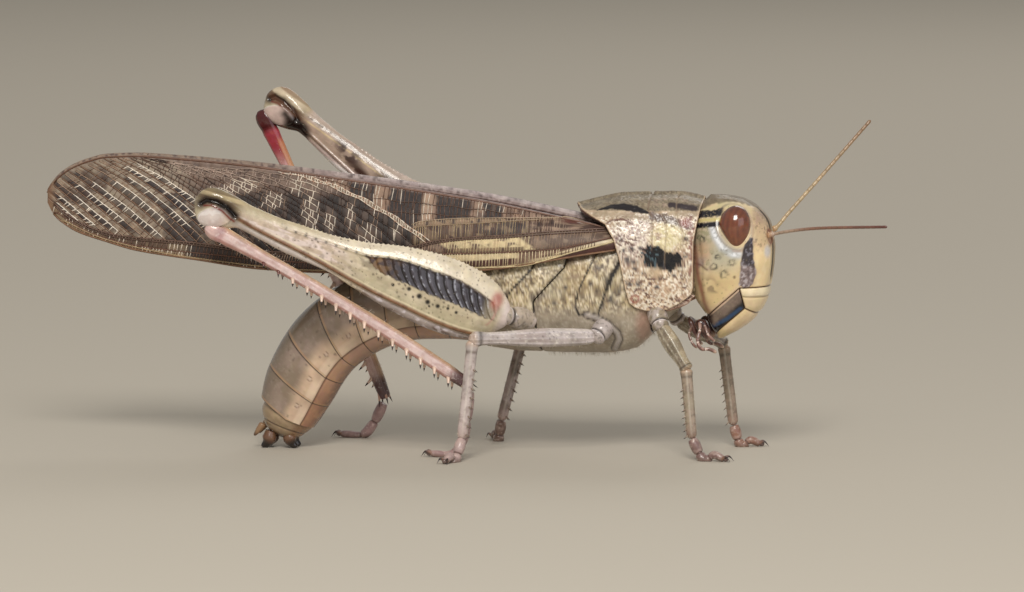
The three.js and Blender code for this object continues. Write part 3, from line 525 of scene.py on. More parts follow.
def make_thorax():
    x = np.linspace(-2, 16.5, 190)
    angle = np.arange(166) / 166 * 2 * np.pi
    x, angle = np.meshgrid(x, angle, indexing="ij")
    middle, reach = (thorax_top(x) + thorax_keel(x)) / 2, (thorax_top(x) - thorax_keel(x)) / 2
    across, up = oval(angle, thorax_half(x), reach, reach, 2.5)
    points = np.stack([x, across, middle + up], -1)
    z = points[..., 2]
    lines = {name: to_line(x, z, line) for name, line in SEAMS.items()}
    groove = sum(np.exp(-((lines[n] / 0.07) ** 2)) for n in ("middle", "rear", "hind"))
    ring = to_line(x, z, SOCKET)
    upper = smooth(z, 11.6, 13.6)
    height = -0.13 * groove + 0.1 * np.exp(-((ring / 0.2) ** 2)) - 0.1 * np.exp(-(((ring - 0.32) / 0.1) ** 2))
    plates = noise(points, 1.6, 5, 2) - 0.5
    height += upper * (0.1 * (noise(points, 0.36, 3) - 0.5) + 0.12 * plates) + 0.04 * (noise(points, 0.7, 4) - 0.5)
    for name in ("front", "back"):
        height -= 0.12 * np.exp(-((lines[name] / 0.1) ** 2))
    lumps, grit, fine = noise(points, 0.9, 11), noise(points, 0.26, 12), noise(points * vec(1.2, 1, 1), 0.13, 31)
    paint = Paint(x.shape, "968a7b", 0.42)
    paint.over(upper * smooth(lumps, 0.3, 0.6), "b3a07c")
    # Pale flecks over the rough upper thorax: partly pale speckle, partly painted highlights.
    paint.over(upper * smooth(grit, 0.48, 0.6) * 0.6, "d2c3a0", 0.34)
    paint.over(upper * smooth(fine, 0.55, 0.62) * 0.75, "e8dcc2", 0.3)
    paint.over(upper * smooth(0.44 - fine, 0, 0.05) * 0.7, "6d5c4c")
    paint.over(upper * smooth(0.37 - grit, 0, 0.05) * 0.7, "54463d")
    paint.over(upper * blot(x, z, 6.4, 15.9, 1.3, 1.8, 0.5) * 0.3, "c2a672")
    paint.over(upper * blot(x, z, 4.6, 15.6, 0.9, 1.8, 0.6) * 0.35, "a39a84")
    for x0, z0, size in ((9.9, 14.6, 0.3), (9.4, 13.9, 0.26), (10.6, 14.9, 0.2), (7.6, 15.3, 0.22), (8.6, 13.3, 0.24),
                         (5.4, 14.8, 0.2), (4.4, 13.6, 0.25), (6.9, 14.0, 0.2), (9.0, 15.6, 0.22), (8.3, 14.5, 0.2)):
        paint.over(upper * blot(x, z, x0, z0, size, size * 1.2, 0.6) * smooth(fine, 0.35, 0.5) * 0.85, "39353a")
    # A dark band along the thorax just below the forewing's lower edge.
    paint.over(stroke(x, z, [(5.6, 17.2), (7.4, 17.75), (9.6, 18.45)], 0.42) * smooth(grit, 0.3, 0.5) * 0.85, "4a3432")
    lower = (1 - upper) * smooth(z, 8, 10.4)
    paint.over(lower * 0.75, "a29684", 0.34)
    paint.over(lower * smooth(lumps, 0.4, 0.65) * 0.5, "b4a999", 0.3)
    paint.over(lower * smooth(fine, 0.6, 0.7) * 0.35, "d0c7b8", 0.28)
    paint.over(lower * smooth(grit, 0.55, 0.68) * 0.35, "7d7162")
    paint.over(blot(x, z, 12.2, 11.3, 0.7, 1.9, 0.6) * 0.6, "b98e7e")
    for mark, wide in (("middle", 0.07 + 0.13 * smooth(z, 13, 16.5)), ("rear", 0.06), ("hind", 0.09)):
        ragged = 0.08 * (grit - 0.5)
        paint.over(1 - smooth(lines[mark] + ragged, wide * 0.7, wide * 1.5), "241f1c", 0.35)
    paint.over(np.exp(-((np.minimum(lines["front"], lines["back"]) / 0.09) ** 2)), "32281f")
    paint.over(np.exp(-((ring / 0.2) ** 2)) * 0.8, "a9a19f", 0.22)
    paint.over(np.exp(-(((ring - 0.3) / 0.07) ** 2)) * 0.9, "3d3430")
    paint.over(band(np.abs(points[..., 1]), 0, 1.2, 0.8) * (z < 12) * 0.4, "9c8670")
    sign = {name: np.where(inside(x, z, [*line, (40, line[-1][1]), (40, line[0][1])]) > 0, 1, -1) * lines[name]
            for name, line in SEAMS.items() if name in ("front", "back")}
    for name, keep in (
        ("prothorax", sign["front"]),
        ("mesothorax", np.minimum(-sign["front"], sign["back"])),
        ("metathorax", -sign["back"]),
    ):
        skin = Skin()
        shell(skin, points, keep - 0.04, paint, 0.3, height)
        piece(f"plates_{name}", skin, HORN, "thorax_plate", name)


make_thorax()


def make_under_shield():
    """The small plate that shows below the shield's front corner, and the fringe of hairs under the body."""
    skin = Skin()
    for side in (-1, 1):
        t, v = np.meshgrid(np.linspace(0, 1, 60), np.linspace(0, 1, 30), indexing="ij")
        upper_x, upper_z = 13.7 + 2.75 * t, 13.35 + 0.95 * t
        drop = 0.75 * np.sqrt(np.clip(1 - (2 * t - 1) ** 4, 0, 1)) * v
        points = np.stack([upper_x, side * (3.02 - 0.12 * t + 0.2 * np.sin(np.pi * v)), upper_z - drop], -1)
        paint = Paint(t.shape, "c9aa9a", 0.3).over(smooth(noise(points, 0.25, 15), 0.45, 0.6) * 0.7, "e6d3c4")
        paint.over(smooth(v, 0.86, 0.95) * 0.8, "a07058").over(smooth(0.42 - noise(points, 0.15, 16), 0, 0.05), "8a6458")
        shell(skin, points, np.ones(t.shape), paint, 0.2, wrap=False)
    rng = np.random.default_rng(17)
    count = 420
    x = rng.uniform(3.5, 13.2, count)
    y = rng.uniform(-2.4, 2.4, count)
    root = np.stack([x, y, thorax_keel(x) + 0.22 * (np.abs(y) / 2.4) ** 3], -1)
    ways = np.stack([rng.uniform(0.0, 0.6, count), y * 0.15, -np.ones(count)], -1)
    spikes(skin, root, ways, rng.uniform(0.2, 0.5, count), 0.013, "d6cfc0", sides=3)
    piece("fringe_thorax", skin, HORN, "thorax_plate")


make_under_shield()


# ---------------------------------------------------------------- pronotum

crest_height = profile((5.2, 21.6), (8.3, 22.4), (10, 22.72), (12, 22.8), (15, 22.85), (17.6, 22.3))
saddle_half = profile((5.2, 3.9), (9, 4.45), (11.8, 4.15), (14, 3.85), (17.6, 3.6))
SADDLE = {"middle": 17.2, "depth": 7.0, "fullness": 2.7, "keel": 0.35, "keel_width": 0.3}
SADDLE_OUTLINE = [
    (5.8, 26), (5.8, 21.95), (8.8, 20.45), (9.62, 19.1), (10.14, 17.3), (10.64, 14.7), (10.96, 13.5), (11.5, 13.1),
    (12.1, 12.9), (13.3, 12.72), (14.3, 12.95), (15.4, 13.5), (16.4, 14.3), (16.6, 15), (16.62, 19), (17.2, 22.6),
    (17.2, 26),
]
SULCI = [
    [(12.5, 23.3), (12.5, 21.71), (12.89, 21.13), (12.99, 19.86), (12.95, 18.2)],
    [(13.47, 21.62), (14.06, 20.74), (14.21, 19.58), (14.11, 18.31), (14.07, 16.9)],
    [(14.85, 23.1), (15.01, 21.03), (15.6, 19.87), (15.71, 18.11), (15.61, 16.16), (15.57, 14.21)],
]


def make_pronotum():
    x = np.linspace(5.2, 17.6, 160)
    angle = np.arange(350) / 350 * 2 * np.pi
    x, angle = np.meshgrid(x, angle, indexing="ij")
    across, up = oval(angle, saddle_half(x), crest_height(x) - SADDLE["middle"], SADDLE["depth"], SADDLE["fullness"])
    notch = 1 - 0.8 * np.exp(-(((x - 12.5) / 0.12) ** 2))
    up = up + np.where(up > 0, SADDLE["keel"] * notch * np.exp(-((across / SADDLE["keel_width"]) ** 2)), 0)
    points = np.stack([x, across, SADDLE["middle"] + up], -1)
    z = points[..., 2]
    keep = inside(x, z, SADDLE_OUTLINE)
    top = smooth(z, 21.0, 21.7)
    rim = np.exp(-(((keep - 0.09) / 0.07) ** 2))
    sulcus = [np.exp(-((to_line(x, z, s) / 0.06) ** 2)) for s in SULCI]
    rough = 1 - smooth(0.3 - keep, 0, 0.2)
    lumps, grit, fine = noise(points, 0.75, 41, 3), noise(points, 0.24, 42), noise(points, 0.12, 43)
    pit = smooth(0.44 - fine, 0, 0.07)
    height = 0.06 * rim - 0.07 * sum(sulcus) - 0.12 * smooth(0.08 - keep, 0, 0.08)
    height += rough * ((0.08 - 0.03 * top) * (fine - 0.5) + 0.05 * (grit - 0.5) + 0.05 * (lumps - 0.5))
    height += 0.12 * blot(x, z, 13.28, 16.2, 0.9, 0.55, 0.6) + 0.1 * stroke(x, z, [(9.2, 20.6), (11.0, 20.75)], 0.25)

    side_face = 1 - top
    paint = Paint(x.shape, "c2aa90", 0.46)
    paint.over(smooth(lumps, 0.4, 0.6) * 0.6, "d2bc9f")
    # A whitish-violet patch on the side below the shoulder: painted highlight.
    paint.over(blot(x, z, 11.3, 19.2, 1.7, 1.9, 0.5) * 0.75, "d0bfba", 0.3)
    paint.over(blot(x, z, 13.6, 14.4, 2.6, 1.4, 0.6) * 0.45, "cba98c")
    clear = blot(x, z, 14.3, 19.4, 1.5, 1.3, 0.45) * smooth(lumps, 0.3, 0.5)
    paint.over(clear, "ddd0a4", 0.36)
    # Pale specks on the side face: partly pale speckle, partly painted highlights.
    paint.over(side_face * smooth(grit, 0.52, 0.6) * 0.6 * (1 - 0.5 * clear), "e8dcc6", 0.32)
    paint.over(side_face * smooth(fine, 0.56, 0.63) * 0.8 * (1 - 0.5 * clear), "f3ebdc", 0.28)
    shaded = 0.35 + 0.65 * smooth(lumps, 0.42, 0.6)
    paint.over(side_face * pit * shaded * (1 - 0.75 * clear), "70564a", 0.5)
    paint.over(side_face * smooth(0.38 - grit, 0, 0.05) * 0.5 * shaded * (1 - 0.8 * clear), "6d5358")
    crest = 1 - smooth(to_line(x, z, [(5.0, 25), (18, 25)]), 3.3, 3.5)
    paint.over(crest, "7d705c", 0.5)
    paint.over(crest * smooth(noise(points, 0.5, 44), 0.42, 0.62) * 0.6, "8e8270")
    paint.over(crest * smooth(grit, 0.55, 0.66) * 0.4, "a3967f")
    paint.over(crest * pit * 0.6, "544a3c")
    paint.over(crest * blot(x, z, 14.6, 22.3, 1.6, 0.35, 0.6) * smooth(lumps, 0.4, 0.55) * 0.6, "b09a8a")
    stripe = to_line(x, z, [(7.9, 21.28), (10.4, 21.25), (13.2, 20.95), (14.3, 21.3), (16.6, 21.35)])
    paint.over((1 - smooth(stripe + 0.25 * (grit - 0.5), 0.14, 0.4)) * (0.85 - 0.4 * pit), "a3917a", 0.45)
    ragged = 0.1 * (grit - 0.5)
    black = [(8.0, 21.6, 0.03), (9.2, 21.9, 0.16), (10.3, 21.93, 0.27), (11.4, 21.75, 0.27), (12.5, 21.45, 0.12)]
    for (x0, z0, w0), (x1, z1, w1) in zip(black[:-1], black[1:]):
        share = np.clip((x - x0) / (x1 - x0), 0, 1)
        wide = w0 + (w1 - w0) * share
        paint.over(1 - smooth(to_line(x, z, [(x0, z0), (x1, z1)]) + ragged, wide * 0.75, wide * 1.3), "1f1a1d", 0.3)
    paint.over((1 - smooth(to_line(x, z, [(14.4, 22.12), (15.4, 22.0), (16.6, 21.8)]) + 1.5 * ragged, 0.13, 0.3)) * 0.95,
               "2c2128")
    paint.over((1 - smooth(to_line(x, z, [(12.9, 21.2), (14.0, 20.95), (15.1, 20.65), (16.2, 20.3)]) + 4 * ragged,
                           0.2, 0.5)) * 0.75, "4b3f45", 0.3)
    paint.over(blot(x, z, 15.85, 20.65, 0.5, 0.4, 0.6) * 0.7, "8c3f3a")
    paint.over(stroke(x, z, [(8.9, 20.45), (9.5, 20.78), (10.4, 20.88), (11.0, 20.6)], 0.09) * 0.9, "5a2f26")
    ragged = 0.55 * (grit - 0.5) + 0.3 * (fine - 0.5)
    patch = inside(x, z, [(12.6, 18.7), (13.5, 18.6), (14.3, 18.0), (15.3, 18.1), (15.75, 17.6), (15.5, 16.9),
                          (14.5, 16.35), (13.3, 16.7), (12.3, 16.95), (12.1, 17.9)])
    paint.over(smooth(patch + ragged, -0.06, 0.06), "111117", 0.22)
    # Bluish flecks over the left part of the dark patch: painted highlight.
    paint.over(smooth(patch + ragged, 0.0, 0.1) * smooth(fine, 0.6, 0.68) * (x < 13.6) * 0.8, "5a7079", 0.15)
    for x0, z0, size in ((11.02, 15.33, 0.3), (11.85, 15.3, 0.28), (12.8, 15.32, 0.16), (13.4, 14.97, 0.24),
                         (13.68, 15.86, 0.28), (10.9, 17.4, 0.35), (11.5, 17.15, 0.3), (10.3, 19.1, 0.22),
                         (11.2, 18.3, 0.25), (12.0, 18.4, 0.2), (15.9, 17.8, 0.22), (11.5, 16.6, 0.2),
                         (10.6, 18.2, 0.2), (12.3, 16.2, 0.2), (14.9, 16.0, 0.18), (15.9, 19.2, 0.25)):
        paint.over(0.9 * blot(x, z, x0, z0, size, size * 0.9, 0.6) * smooth(fine, 0.4, 0.5), "26202e", 0.3)
    paint.over(blot(x, z, 13.28, 16.24, 0.75, 0.4, 0.6) * 0.7, "c5ad8d")
    paint.over(0.65 * (1 - smooth(to_line(x, z, [(16.2, 20.8), (16.35, 19.5), (16.45, 17.3), (16.3, 16.2)])
                                  + ragged, 0.03, 0.3)), "7f4a45")
    paint.over(0.8 * np.exp(-(((np.hypot(x - 11.5, z - 13.95) - 0.32) / 0.1) ** 2)), "a05a4a")
    for mark, code in zip(sulcus, ("6f5643", "8a7560", "9a8570")):
        paint.over(mark * 0.6, code)
    edge = smooth(0.17 - keep, 0, 0.08)
    paint.over(edge * 0.8, "d9c2a4", 0.3)
    paint.over(smooth(0.06 - keep, 0, 0.04), "5d3a2e")
    paint.over(np.exp(-((points[..., 1] / 0.09) ** 2)) * top, "4a3a2c")
    skin = Skin()
    shell(skin, points, keep, paint, 0.32, height)
    piece("shield_pronotum", skin, HORN, "pronotum_shield", "pronotum")


make_pronotum()


# ---------------------------------------------------------------- head

face_front = profile((10.45, 18.9), (11.2, 20.3), (12.3, 21.65), (13.8, 22.55), (15.9, 23.1),
                     (18.3, 23.3), (20.4, 22.95), (21.8, 21.9), (22.6, 20.5), (22.88, 19.2))
face_back = profile((10.45, 18.4), (11.2, 17.9), (12.4, 17.3), (14, 16.3), (17, 15.9), (21, 15.9), (22.88, 17.6))
head_half = profile((10.45, 1.2), (11.2, 1.9), (12.4, 2.5), (13.5, 3.0), (15, 3.45), (17, 3.72),
                    (19, 3.7), (20.5, 3.4), (21.8, 2.6), (22.6, 1.5), (22.88, 0.5))
HEAD_TOP, HEAD_BOTTOM = 22.88, 10.45
NAPE, CHEEK, BROW, MOUTH = (14, 12.2), (17.7, 12.45), (20.6, 14.95), (21.0, 13.1)
JAW, CHIN, FACE, LIP = (18.3, 10.85), (17.6, 9.6), (25, 15.0), (25, 10.7)
REGIONS = {
    "head": [(14, 26), NAPE, CHEEK, BROW, FACE, (25, 26)],
    "clypeus": [BROW, MOUTH, LIP, FACE],
    "labrum": [MOUTH, JAW, CHIN, (17.6, 8), (25, 8), LIP],
    "mandible": [NAPE, CHEEK, BROW, MOUTH, JAW, CHIN, (17.6, 8), (14, 8)],
}
ANTENNA_ROOT = vec(22.75, 1.15, 19.35)


def make_head():
    rows = 215
    t = np.concatenate([[0, 0, 0], np.linspace(0, 1, rows), [1, 1, 1]])
    shrink = np.concatenate([[0.001, 0.35, 0.7], np.ones(rows), [0.7, 0.35, 0.001]])
    angle = np.arange(290) / 290 * 2 * np.pi
    t, angle = np.meshgrid(t, angle, indexing="ij")
    shrink = np.broadcast_to(shrink[:, None], t.shape)
    z = HEAD_BOTTOM + (HEAD_TOP - HEAD_BOTTOM) * 0.5 * (1 - np.cos(np.pi * t))
    middle = 0.5 * (face_front(z) + face_back(z))
    across, up = oval(angle, (face_front(z) - middle) * shrink, head_half(z) * shrink, head_half(z) * shrink, 2.45)
    points = np.stack([middle + across, up, z], -1)
    x, y = points[..., 0], points[..., 1]
    wide = np.abs(y)
    front = smooth(x, 21.2, 22.2)
    lean = x - EYE["x"] + 0.16 * (z - EYE["z"])
    eye = np.hypot(lean / EYE["long"], (z - EYE["z"]) / EYE["tall"])
    beside = smooth(wide, 1.6, 2.4)
    cheek = [(21.75, 18.9), (21.75, 17.6), (21.95, 16.6), (21.85, 15.5), (20.9, 15.0)]
    costa = front * smooth(z, 14.9, 16.2)

    height = 0.05 * beside * np.exp(-(((eye - 1.1) / 0.06) ** 2))
    height -= 0.1 * costa * band(wide, 0.62, 1.35, 0.12) * (1 - 0.5 * smooth(z, 20.5, 22))
    height -= 0.09 * costa * (1 - smooth(wide, 0.15, 0.4)) * (1 - smooth(z, 19.2, 20.4))
    height += 0.07 * beside * np.exp(-((to_line(x, z, cheek) / 0.13) ** 2))
    height -= 0.16 * np.exp(-(((np.hypot(y - np.sign(y) * 1.2, z - 19.4)) / 0.7) ** 2)) * smooth(x, 22, 22.6)
    height += 0.1 * blot(x, z, 18.5, 15.4, 2.0, 2.4, 0.6) * beside
    height -= 0.06 * beside * np.exp(-((to_line(x, z, [(16.9, 19.0), (17.3, 16.8), (17.2, 14.0)]) / 0.2) ** 2))
    height -= 0.05 * np.exp(-((y / 0.07) ** 2)) * (z > 21.5)
    height += 0.05 * (noise(points, 1.3, 61) - 0.5) + 0.025 * (noise(points, 0.35, 62) - 0.5)

    crown = profile((16, 21.3), (16.7, 21.5), (18.05, 22.15), (19.2, 22.3), (20.2, 22.35), (21.3, 21.95), (22.3, 21.5),
                    (23, 20.6))
    lumps, mottled, fine = noise(points, 1.1, 70, 3), noise(points, 0.55, 71), noise(points, 0.2, 72)
    above = smooth(z - crown(x) + 0.35 * (mottled - 0.5), -0.1, 0.1)
    ragged = 0.14 * (fine - 0.5)
    net = np.exp(-(((mottled - 0.5) / 0.035) ** 2))
    paint = Paint(x.shape, "d9c49c", 0.34)
    paint.over(smooth(lumps, 0.45, 0.65) * 0.4, "cdb387")
    paint.over(beside * blot(x, z, 17.9, 18.8, 2.0, 1.9, 0.6) * (0.5 + 0.4 * mottled), "b0a794", 0.22)
    paint.over(beside * blot(x, z, 19.3, 17.6, 1.3, 1.1, 0.7) * 0.55, "a9ab9a", 0.2)
    paint.over(beside * blot(x, z, 17.3, 18.0, 0.8, 1.0, 0.6) * 0.6, "c79f7a")
    paint.over(beside * blot(x, z, 17.2, 19.7, 1.0, 0.9, 0.5) * net * 0.8, "676a4c")
    paint.over(beside * blot(x, z, 17.3, 19.6, 1.0, 0.7, 0.6) * smooth(fine, 0.5, 0.6) * 0.6, "8b8a66")
    paint.over(beside * blot(x, z, 17.2, 16.9, 0.8, 0.7, 0.7) * smooth(mottled, 0.4, 0.55) * 0.7, "988885")
    sheen = to_line(x, z, [(18.2, 20.3), (18.5, 19.5), (19.2, 18.5), (20.1, 17.95), (20.6, 17.9)])
    paint.over(beside * (1 - smooth(sheen, 0.12, 0.6)) * 0.75, "c3c9d3", 0.12)
    paint.over(beside * (1 - smooth(sheen, 0.05, 0.3)) * smooth(fine, 0.42, 0.55) * 0.85, "f2f4f8", 0.08)
    paint.over(beside * blot(x, z, 19.2, 14.7, 1.8, 1.5, 0.7) * 0.7, "dec48f")
    paint.over(above, "766853", 0.6)
    paint.over(above * smooth(mottled, 0.5, 0.65) * 0.5, "8a7b63", 0.6)
    paint.over(above * smooth(0.42 - fine, 0, 0.06) * 0.5, "5b503d")
    # A pale spot on the crown above the eye: painted highlight.
    paint.over(beside * blot(x, z, 19.6, 22.2, 0.9, 0.3, 0.6) * 0.8, "d3caa0", 0.3)
    over_eye = to_line(x, z, [(17.0, 21.45), (18.2, 21.85), (19.4, 22.15), (20.6, 22.25), (21.4, 21.7)])
    paint.over((1 - smooth(over_eye + 2 * ragged, 0.1, 0.3)) * 0.75 * beside, "cdbf92")
    paint.over(np.exp(-(((eye - 1.06) / 0.05) ** 2)) * beside * 0.8, "8f8374", 0.2)
    paint.over(np.exp(-(((eye - 1.15) / 0.05) ** 2)) * beside * (x > 20) * 0.6, "b49a94", 0.2)
    soft = beside * (1 - smooth(x + 2 * ragged, 18.9, 19.2)) * (0.55 + 0.45 * smooth(fine, 0.25, 0.4))
    for line, half, code in (
        ([(16.6, 21.1), (17.2, 21.35), (18.2, 21.42), (19.1, 21.6)], 0.3, "1c1a22"),
        ([(16.3, 20.2), (17.2, 20.38), (18.9, 20.55)], 0.22, "1c1a22"),
        ([(16.3, 20.7), (17.6, 20.84), (18.95, 20.97)], 0.12, "cbbd80"),
    ):
        paint.over(soft * (1 - smooth(to_line(x, z, line) + 1.5 * ragged, half - 0.06, half + 0.06)), code, 0.24)
    stripe = profile((14.9, 0.25), (15.4, 0.6), (16.4, 0.66), (17.5, 0.5), (18.6, 0.38), (19.3, 0.15))
    stripe_x = profile((14.9, 21.0), (15.5, 21.2), (16.4, 21.36), (17.5, 21.3), (18.6, 21.4), (19.3, 21.6))
    under = smooth(stripe(z) - np.abs(x - stripe_x(z)) + ragged, -0.06, 0.06) * band(z, 15.0, 19.3, 0.15) * beside
    paint.over(under, "847473", 0.24)
    paint.over(under * smooth(fine, 0.55, 0.65) * 0.7, "c9c0c4", 0.15)
    paint.over(under * smooth(0.42 - fine, 0, 0.06) * 0.6, "4a3d40")
    deep = smooth(z + 0.9 * (mottled - 0.5), 16.6, 17.3)
    paint.over(under * deep * 0.95, "2d262c", 0.2)
    # Blue-grey flecks in the dark upper part of the band under the eye: painted highlights.
    paint.over(under * deep * smooth(fine, 0.58, 0.66) * 0.5, "8a8794", 0.14)
    paint.over(beside * blot(x, z, 18.6, 17.5, 1.6, 0.9, 0.6) * smooth(0.45 - mottled, 0, 0.06) * 0.5, "8c8870")
    for x0, z0, size, open_at in ((18.4, 16.85, 0.36, 0.3), (19.3, 16.2, 0.42, 2.2), (19.98, 17.2, 0.33, 4.0),
                                  (17.3, 19.2, 0.3, 1.0), (18.8, 17.7, 0.2, 3.0)):
        ring = np.hypot(x - x0, (z - z0) * 1.1) + 3.2 * ragged
        turn = 0.5 + 0.5 * np.cos(np.arctan2(z - z0, x - x0) - open_at)
        paint.over(beside * (0.5 + 0.5 * turn) * np.exp(-(((ring - size * 0.68) / 0.12) ** 2)), "44423a")
        paint.over(beside * np.exp(-((ring / (0.4 * size)) ** 2)) * 0.5, "c9bc9c")
    paint.over(beside * stroke(x, z, [(16.4, 17.05), (17.1, 16.95), (17.8, 16.55)], 0.09) * 0.8, "5b3f3a")
    smudge = blot(x, z, 17.9, 15.25, 0.8, 0.55, 0.7) + blot(x, z, 18.7, 14.8, 0.6, 0.25, 0.7)
    paint.over(beside * np.clip(smudge, 0, 1) * smooth(mottled, 0.42, 0.55) * 0.7, "86705c")
    paint.over(beside * blot(x, z, 20.2, 15.95, 0.12, 0.14, 0.5) * 0.8, "6b5138")
    paint.over(dots(x, z, 0.42, 0.3, 0.045, 75) * beside * 0.6, "6b6048")
    cream = front * (1 - above) * (1 - under)
    low = smooth(19.2 - z, 0, 1.5)
    paint.over(cream * 0.75, "d3b791", 0.36)
    paint.over(cream * low * 0.85, "f3d9a8", 0.34)
    paint.over(cream * smooth(mottled, 0.52, 0.68) * 0.4 * (0.3 + 0.7 * low), "f8e4bf", 0.3)
    paint.over(cream * (1 - low) * smooth(z, 20.2, 21.5) * 0.7, "a8927a")
    paint.over(cream * blot(x, z, 21.9, 21.0, 0.8, 1.0, 0.6) * smooth(fine, 0.42, 0.55) * 0.7, "a88c7c")
    paint.over(cream * blot(x, z, 21.7, 19.6, 0.5, 0.8, 0.6) * smooth(mottled, 0.4, 0.55) * 0.5, "b59a80")
    # A bluish-white spot on the face: painted highlight.
    paint.over(cream * blot(x, z, 22.9, 18.1, 0.22, 0.5, 0.6) * 0.7, "cdd0da", 0.14)
    paint.over(cream * (1 - low) * smooth(0.42 - fine, 0, 0.05) * 0.7, "7f6a56")
    dark = np.exp(-(((wide - 0.62) / 0.15) ** 2)) * smooth(x, 21.4, 22.2) * smooth(z, 15.1, 16)
    paint.over(front * smooth(0.6 - wide, 0, 0.15) * smooth(z, 15.1, 16) * 0.8, "a08e76", 0.34)
    # A dark line along each edge of the frontal ridge: painted shadow.
    paint.over(dark, "22201f", 0.26)
    socket = np.hypot(wide - ANTENNA_ROOT[1], z - ANTENNA_ROOT[2])
    near = smooth(x, 21.2, 21.9)
    paint.over(near * (1 - smooth(socket + 1.5 * ragged, 0.5, 1.05)) * 0.85, "b98a5c", 0.3)
    paint.over(near * np.exp(-(((socket - 0.6) / 0.11) ** 2)), "83452a")
    paint.over(near * (1 - smooth(np.hypot(y, z - 18.55), 0.14, 0.2)), "e8dfc0", 0.1)
    seam = np.minimum(to_line(x, z, [CHEEK, BROW]), to_line(x, z, [BROW, (23.4, 14.98)]))
    paint.over(smooth(0.32 - to_line(x, z, [NAPE, CHEEK, (19.2, 13.7), BROW]), 0, 0.1) * 0.7, "dcc3a2", 0.26)
    paint.over(np.exp(-((seam / 0.06) ** 2)), "5b3527")
    rear = to_line(x, z, [(16.5, 18.5), (16.9, 16.2), (17.3, 14.3), (17.7, 12.6)])
    paint.over(np.exp(-((rear / 0.25) ** 2)) * beside * 0.8, "8f5446")

    plates = {name: inside(x, z, outline) for name, outline in REGIONS.items()}
    edge = {name: -0.09 * smooth(0.12 - keep, 0, 0.12) for name, keep in plates.items()}
    skin = Skin()
    shell(skin, points, plates["head"] - 0.015, paint, 0.3, height + edge["head"])
    piece("capsule_head", skin, POLISHED, "head_capsule", "head")

    clypeus = Paint(x.shape, "f0d9ae", 0.34)
    line = to_line(x, z, [(20.9, 14.15), (23.4, 14.1)])
    clypeus.over(smooth(z, 14.15, 14.2) * 0.6, "f5eacb", 0.26)
    clypeus.over(np.exp(-((line / 0.06) ** 2)) * 0.8, "8a6d48")
    clypeus.over(smooth(mottled, 0.5, 0.8) * 0.3, "dcc08c")
    clypeus.over(smooth(0.1 - plates["clypeus"], 0, 0.06), "6b4a30")
    skin = Skin()
    bulge = 0.1 * smooth(plates["clypeus"], 0, 0.5) - 0.1 * np.exp(-((line / 0.08) ** 2))
    shell(skin, points, plates["clypeus"] - 0.02, clypeus, 0.3, bulge + edge["clypeus"])
    piece("plate_clypeus", skin, POLISHED, "face_plate", "clypeus")

    labrum = Paint(x.shape, "e3c8a0", 0.32)
    labrum.over(smooth(mottled, 0.45, 0.8) * 0.5, "efd9b4")
    labrum.over(smooth(0.3 - to_line(x, z, [(21.0, 12.9), (18.4, 10.9)]), 0, 0.3) * 0.5, "e6cf9a")
    labrum.over(smooth(11.6 - z, 0, 0.9) * 0.6, "a5945f")
    labrum.over(smooth(0.08 - plates["labrum"], 0, 0.06), "6b4a30")
    skin = Skin()
    notch = -0.25 * np.exp(-((y / 0.25) ** 2)) * (1 - smooth(z, 10.5, 11.6))
    lift = 0.08 * smooth(plates["labrum"], 0, 0.4) + notch
    shell(skin, points, plates["labrum"] - 0.02, labrum, 0.35, lift + edge["labrum"])
    piece("plate_labrum", skin, POLISHED, "face_plate", "labrum")

    for side_name, side in SIDES.items():
        keep = np.minimum(plates["mandible"], side * y - 0.06)
        jaw = Paint(x.shape, "121116", 0.14)
        across_jaw = to_line(x, z, [CHEEK, (19.2, 13.7), BROW])
        upper = smooth(0.95 - across_jaw + 0.3 * (lumps - 0.5), -0.25, 0.25) * smooth(x, 17.6, 18.4)
        # A blue line along the jaw's lower half, lighter blue towards its rear: painted reflection.
        jaw_sheen = 1 - smooth(to_line(x, z, [(17.6, 11.25), (19.4, 12.2), (20.6, 13.1)]), 0.05, 0.3)
        jaw.over(jaw_sheen * 0.9, "2a4a70", 0.12)
        jaw.over(jaw_sheen * smooth(18.6 - x, 0, 1.0) * 0.6, "4d7391", 0.1)
        jaw.over(upper, "7d6c62", 0.24)
        jaw.over(upper * smooth(fine, 0.5, 0.62) * 0.4, "93836f", 0.2)
        jaw.over(upper * smooth(0.45 - mottled, 0, 0.1) * 0.4, "5f5048")
        jaw.over(upper * smooth(0.22 - across_jaw, 0, 0.1) * 0.8, "ceb39a", 0.22)
        jaw.over(smooth(0.07 - plates["mandible"], 0, 0.04) * upper, "4a2c24")
        jaw.over(blot(x, z, 17.2, 12.1, 0.6, 0.6, 0.5), "3a2620", 0.3)
        skin = Skin()
        lift = -0.06 * np.exp(-(((across_jaw - 0.28) / 0.06) ** 2)) + 0.06 * smooth(plates["mandible"], 0, 0.4)
        shell(skin, points, keep - 0.03, jaw, 0.4, lift + edge["mandible"])
        piece(f"jaw_mandible_{side_name}", skin, POLISHED, "mandible", f"mandible_{side_name}")


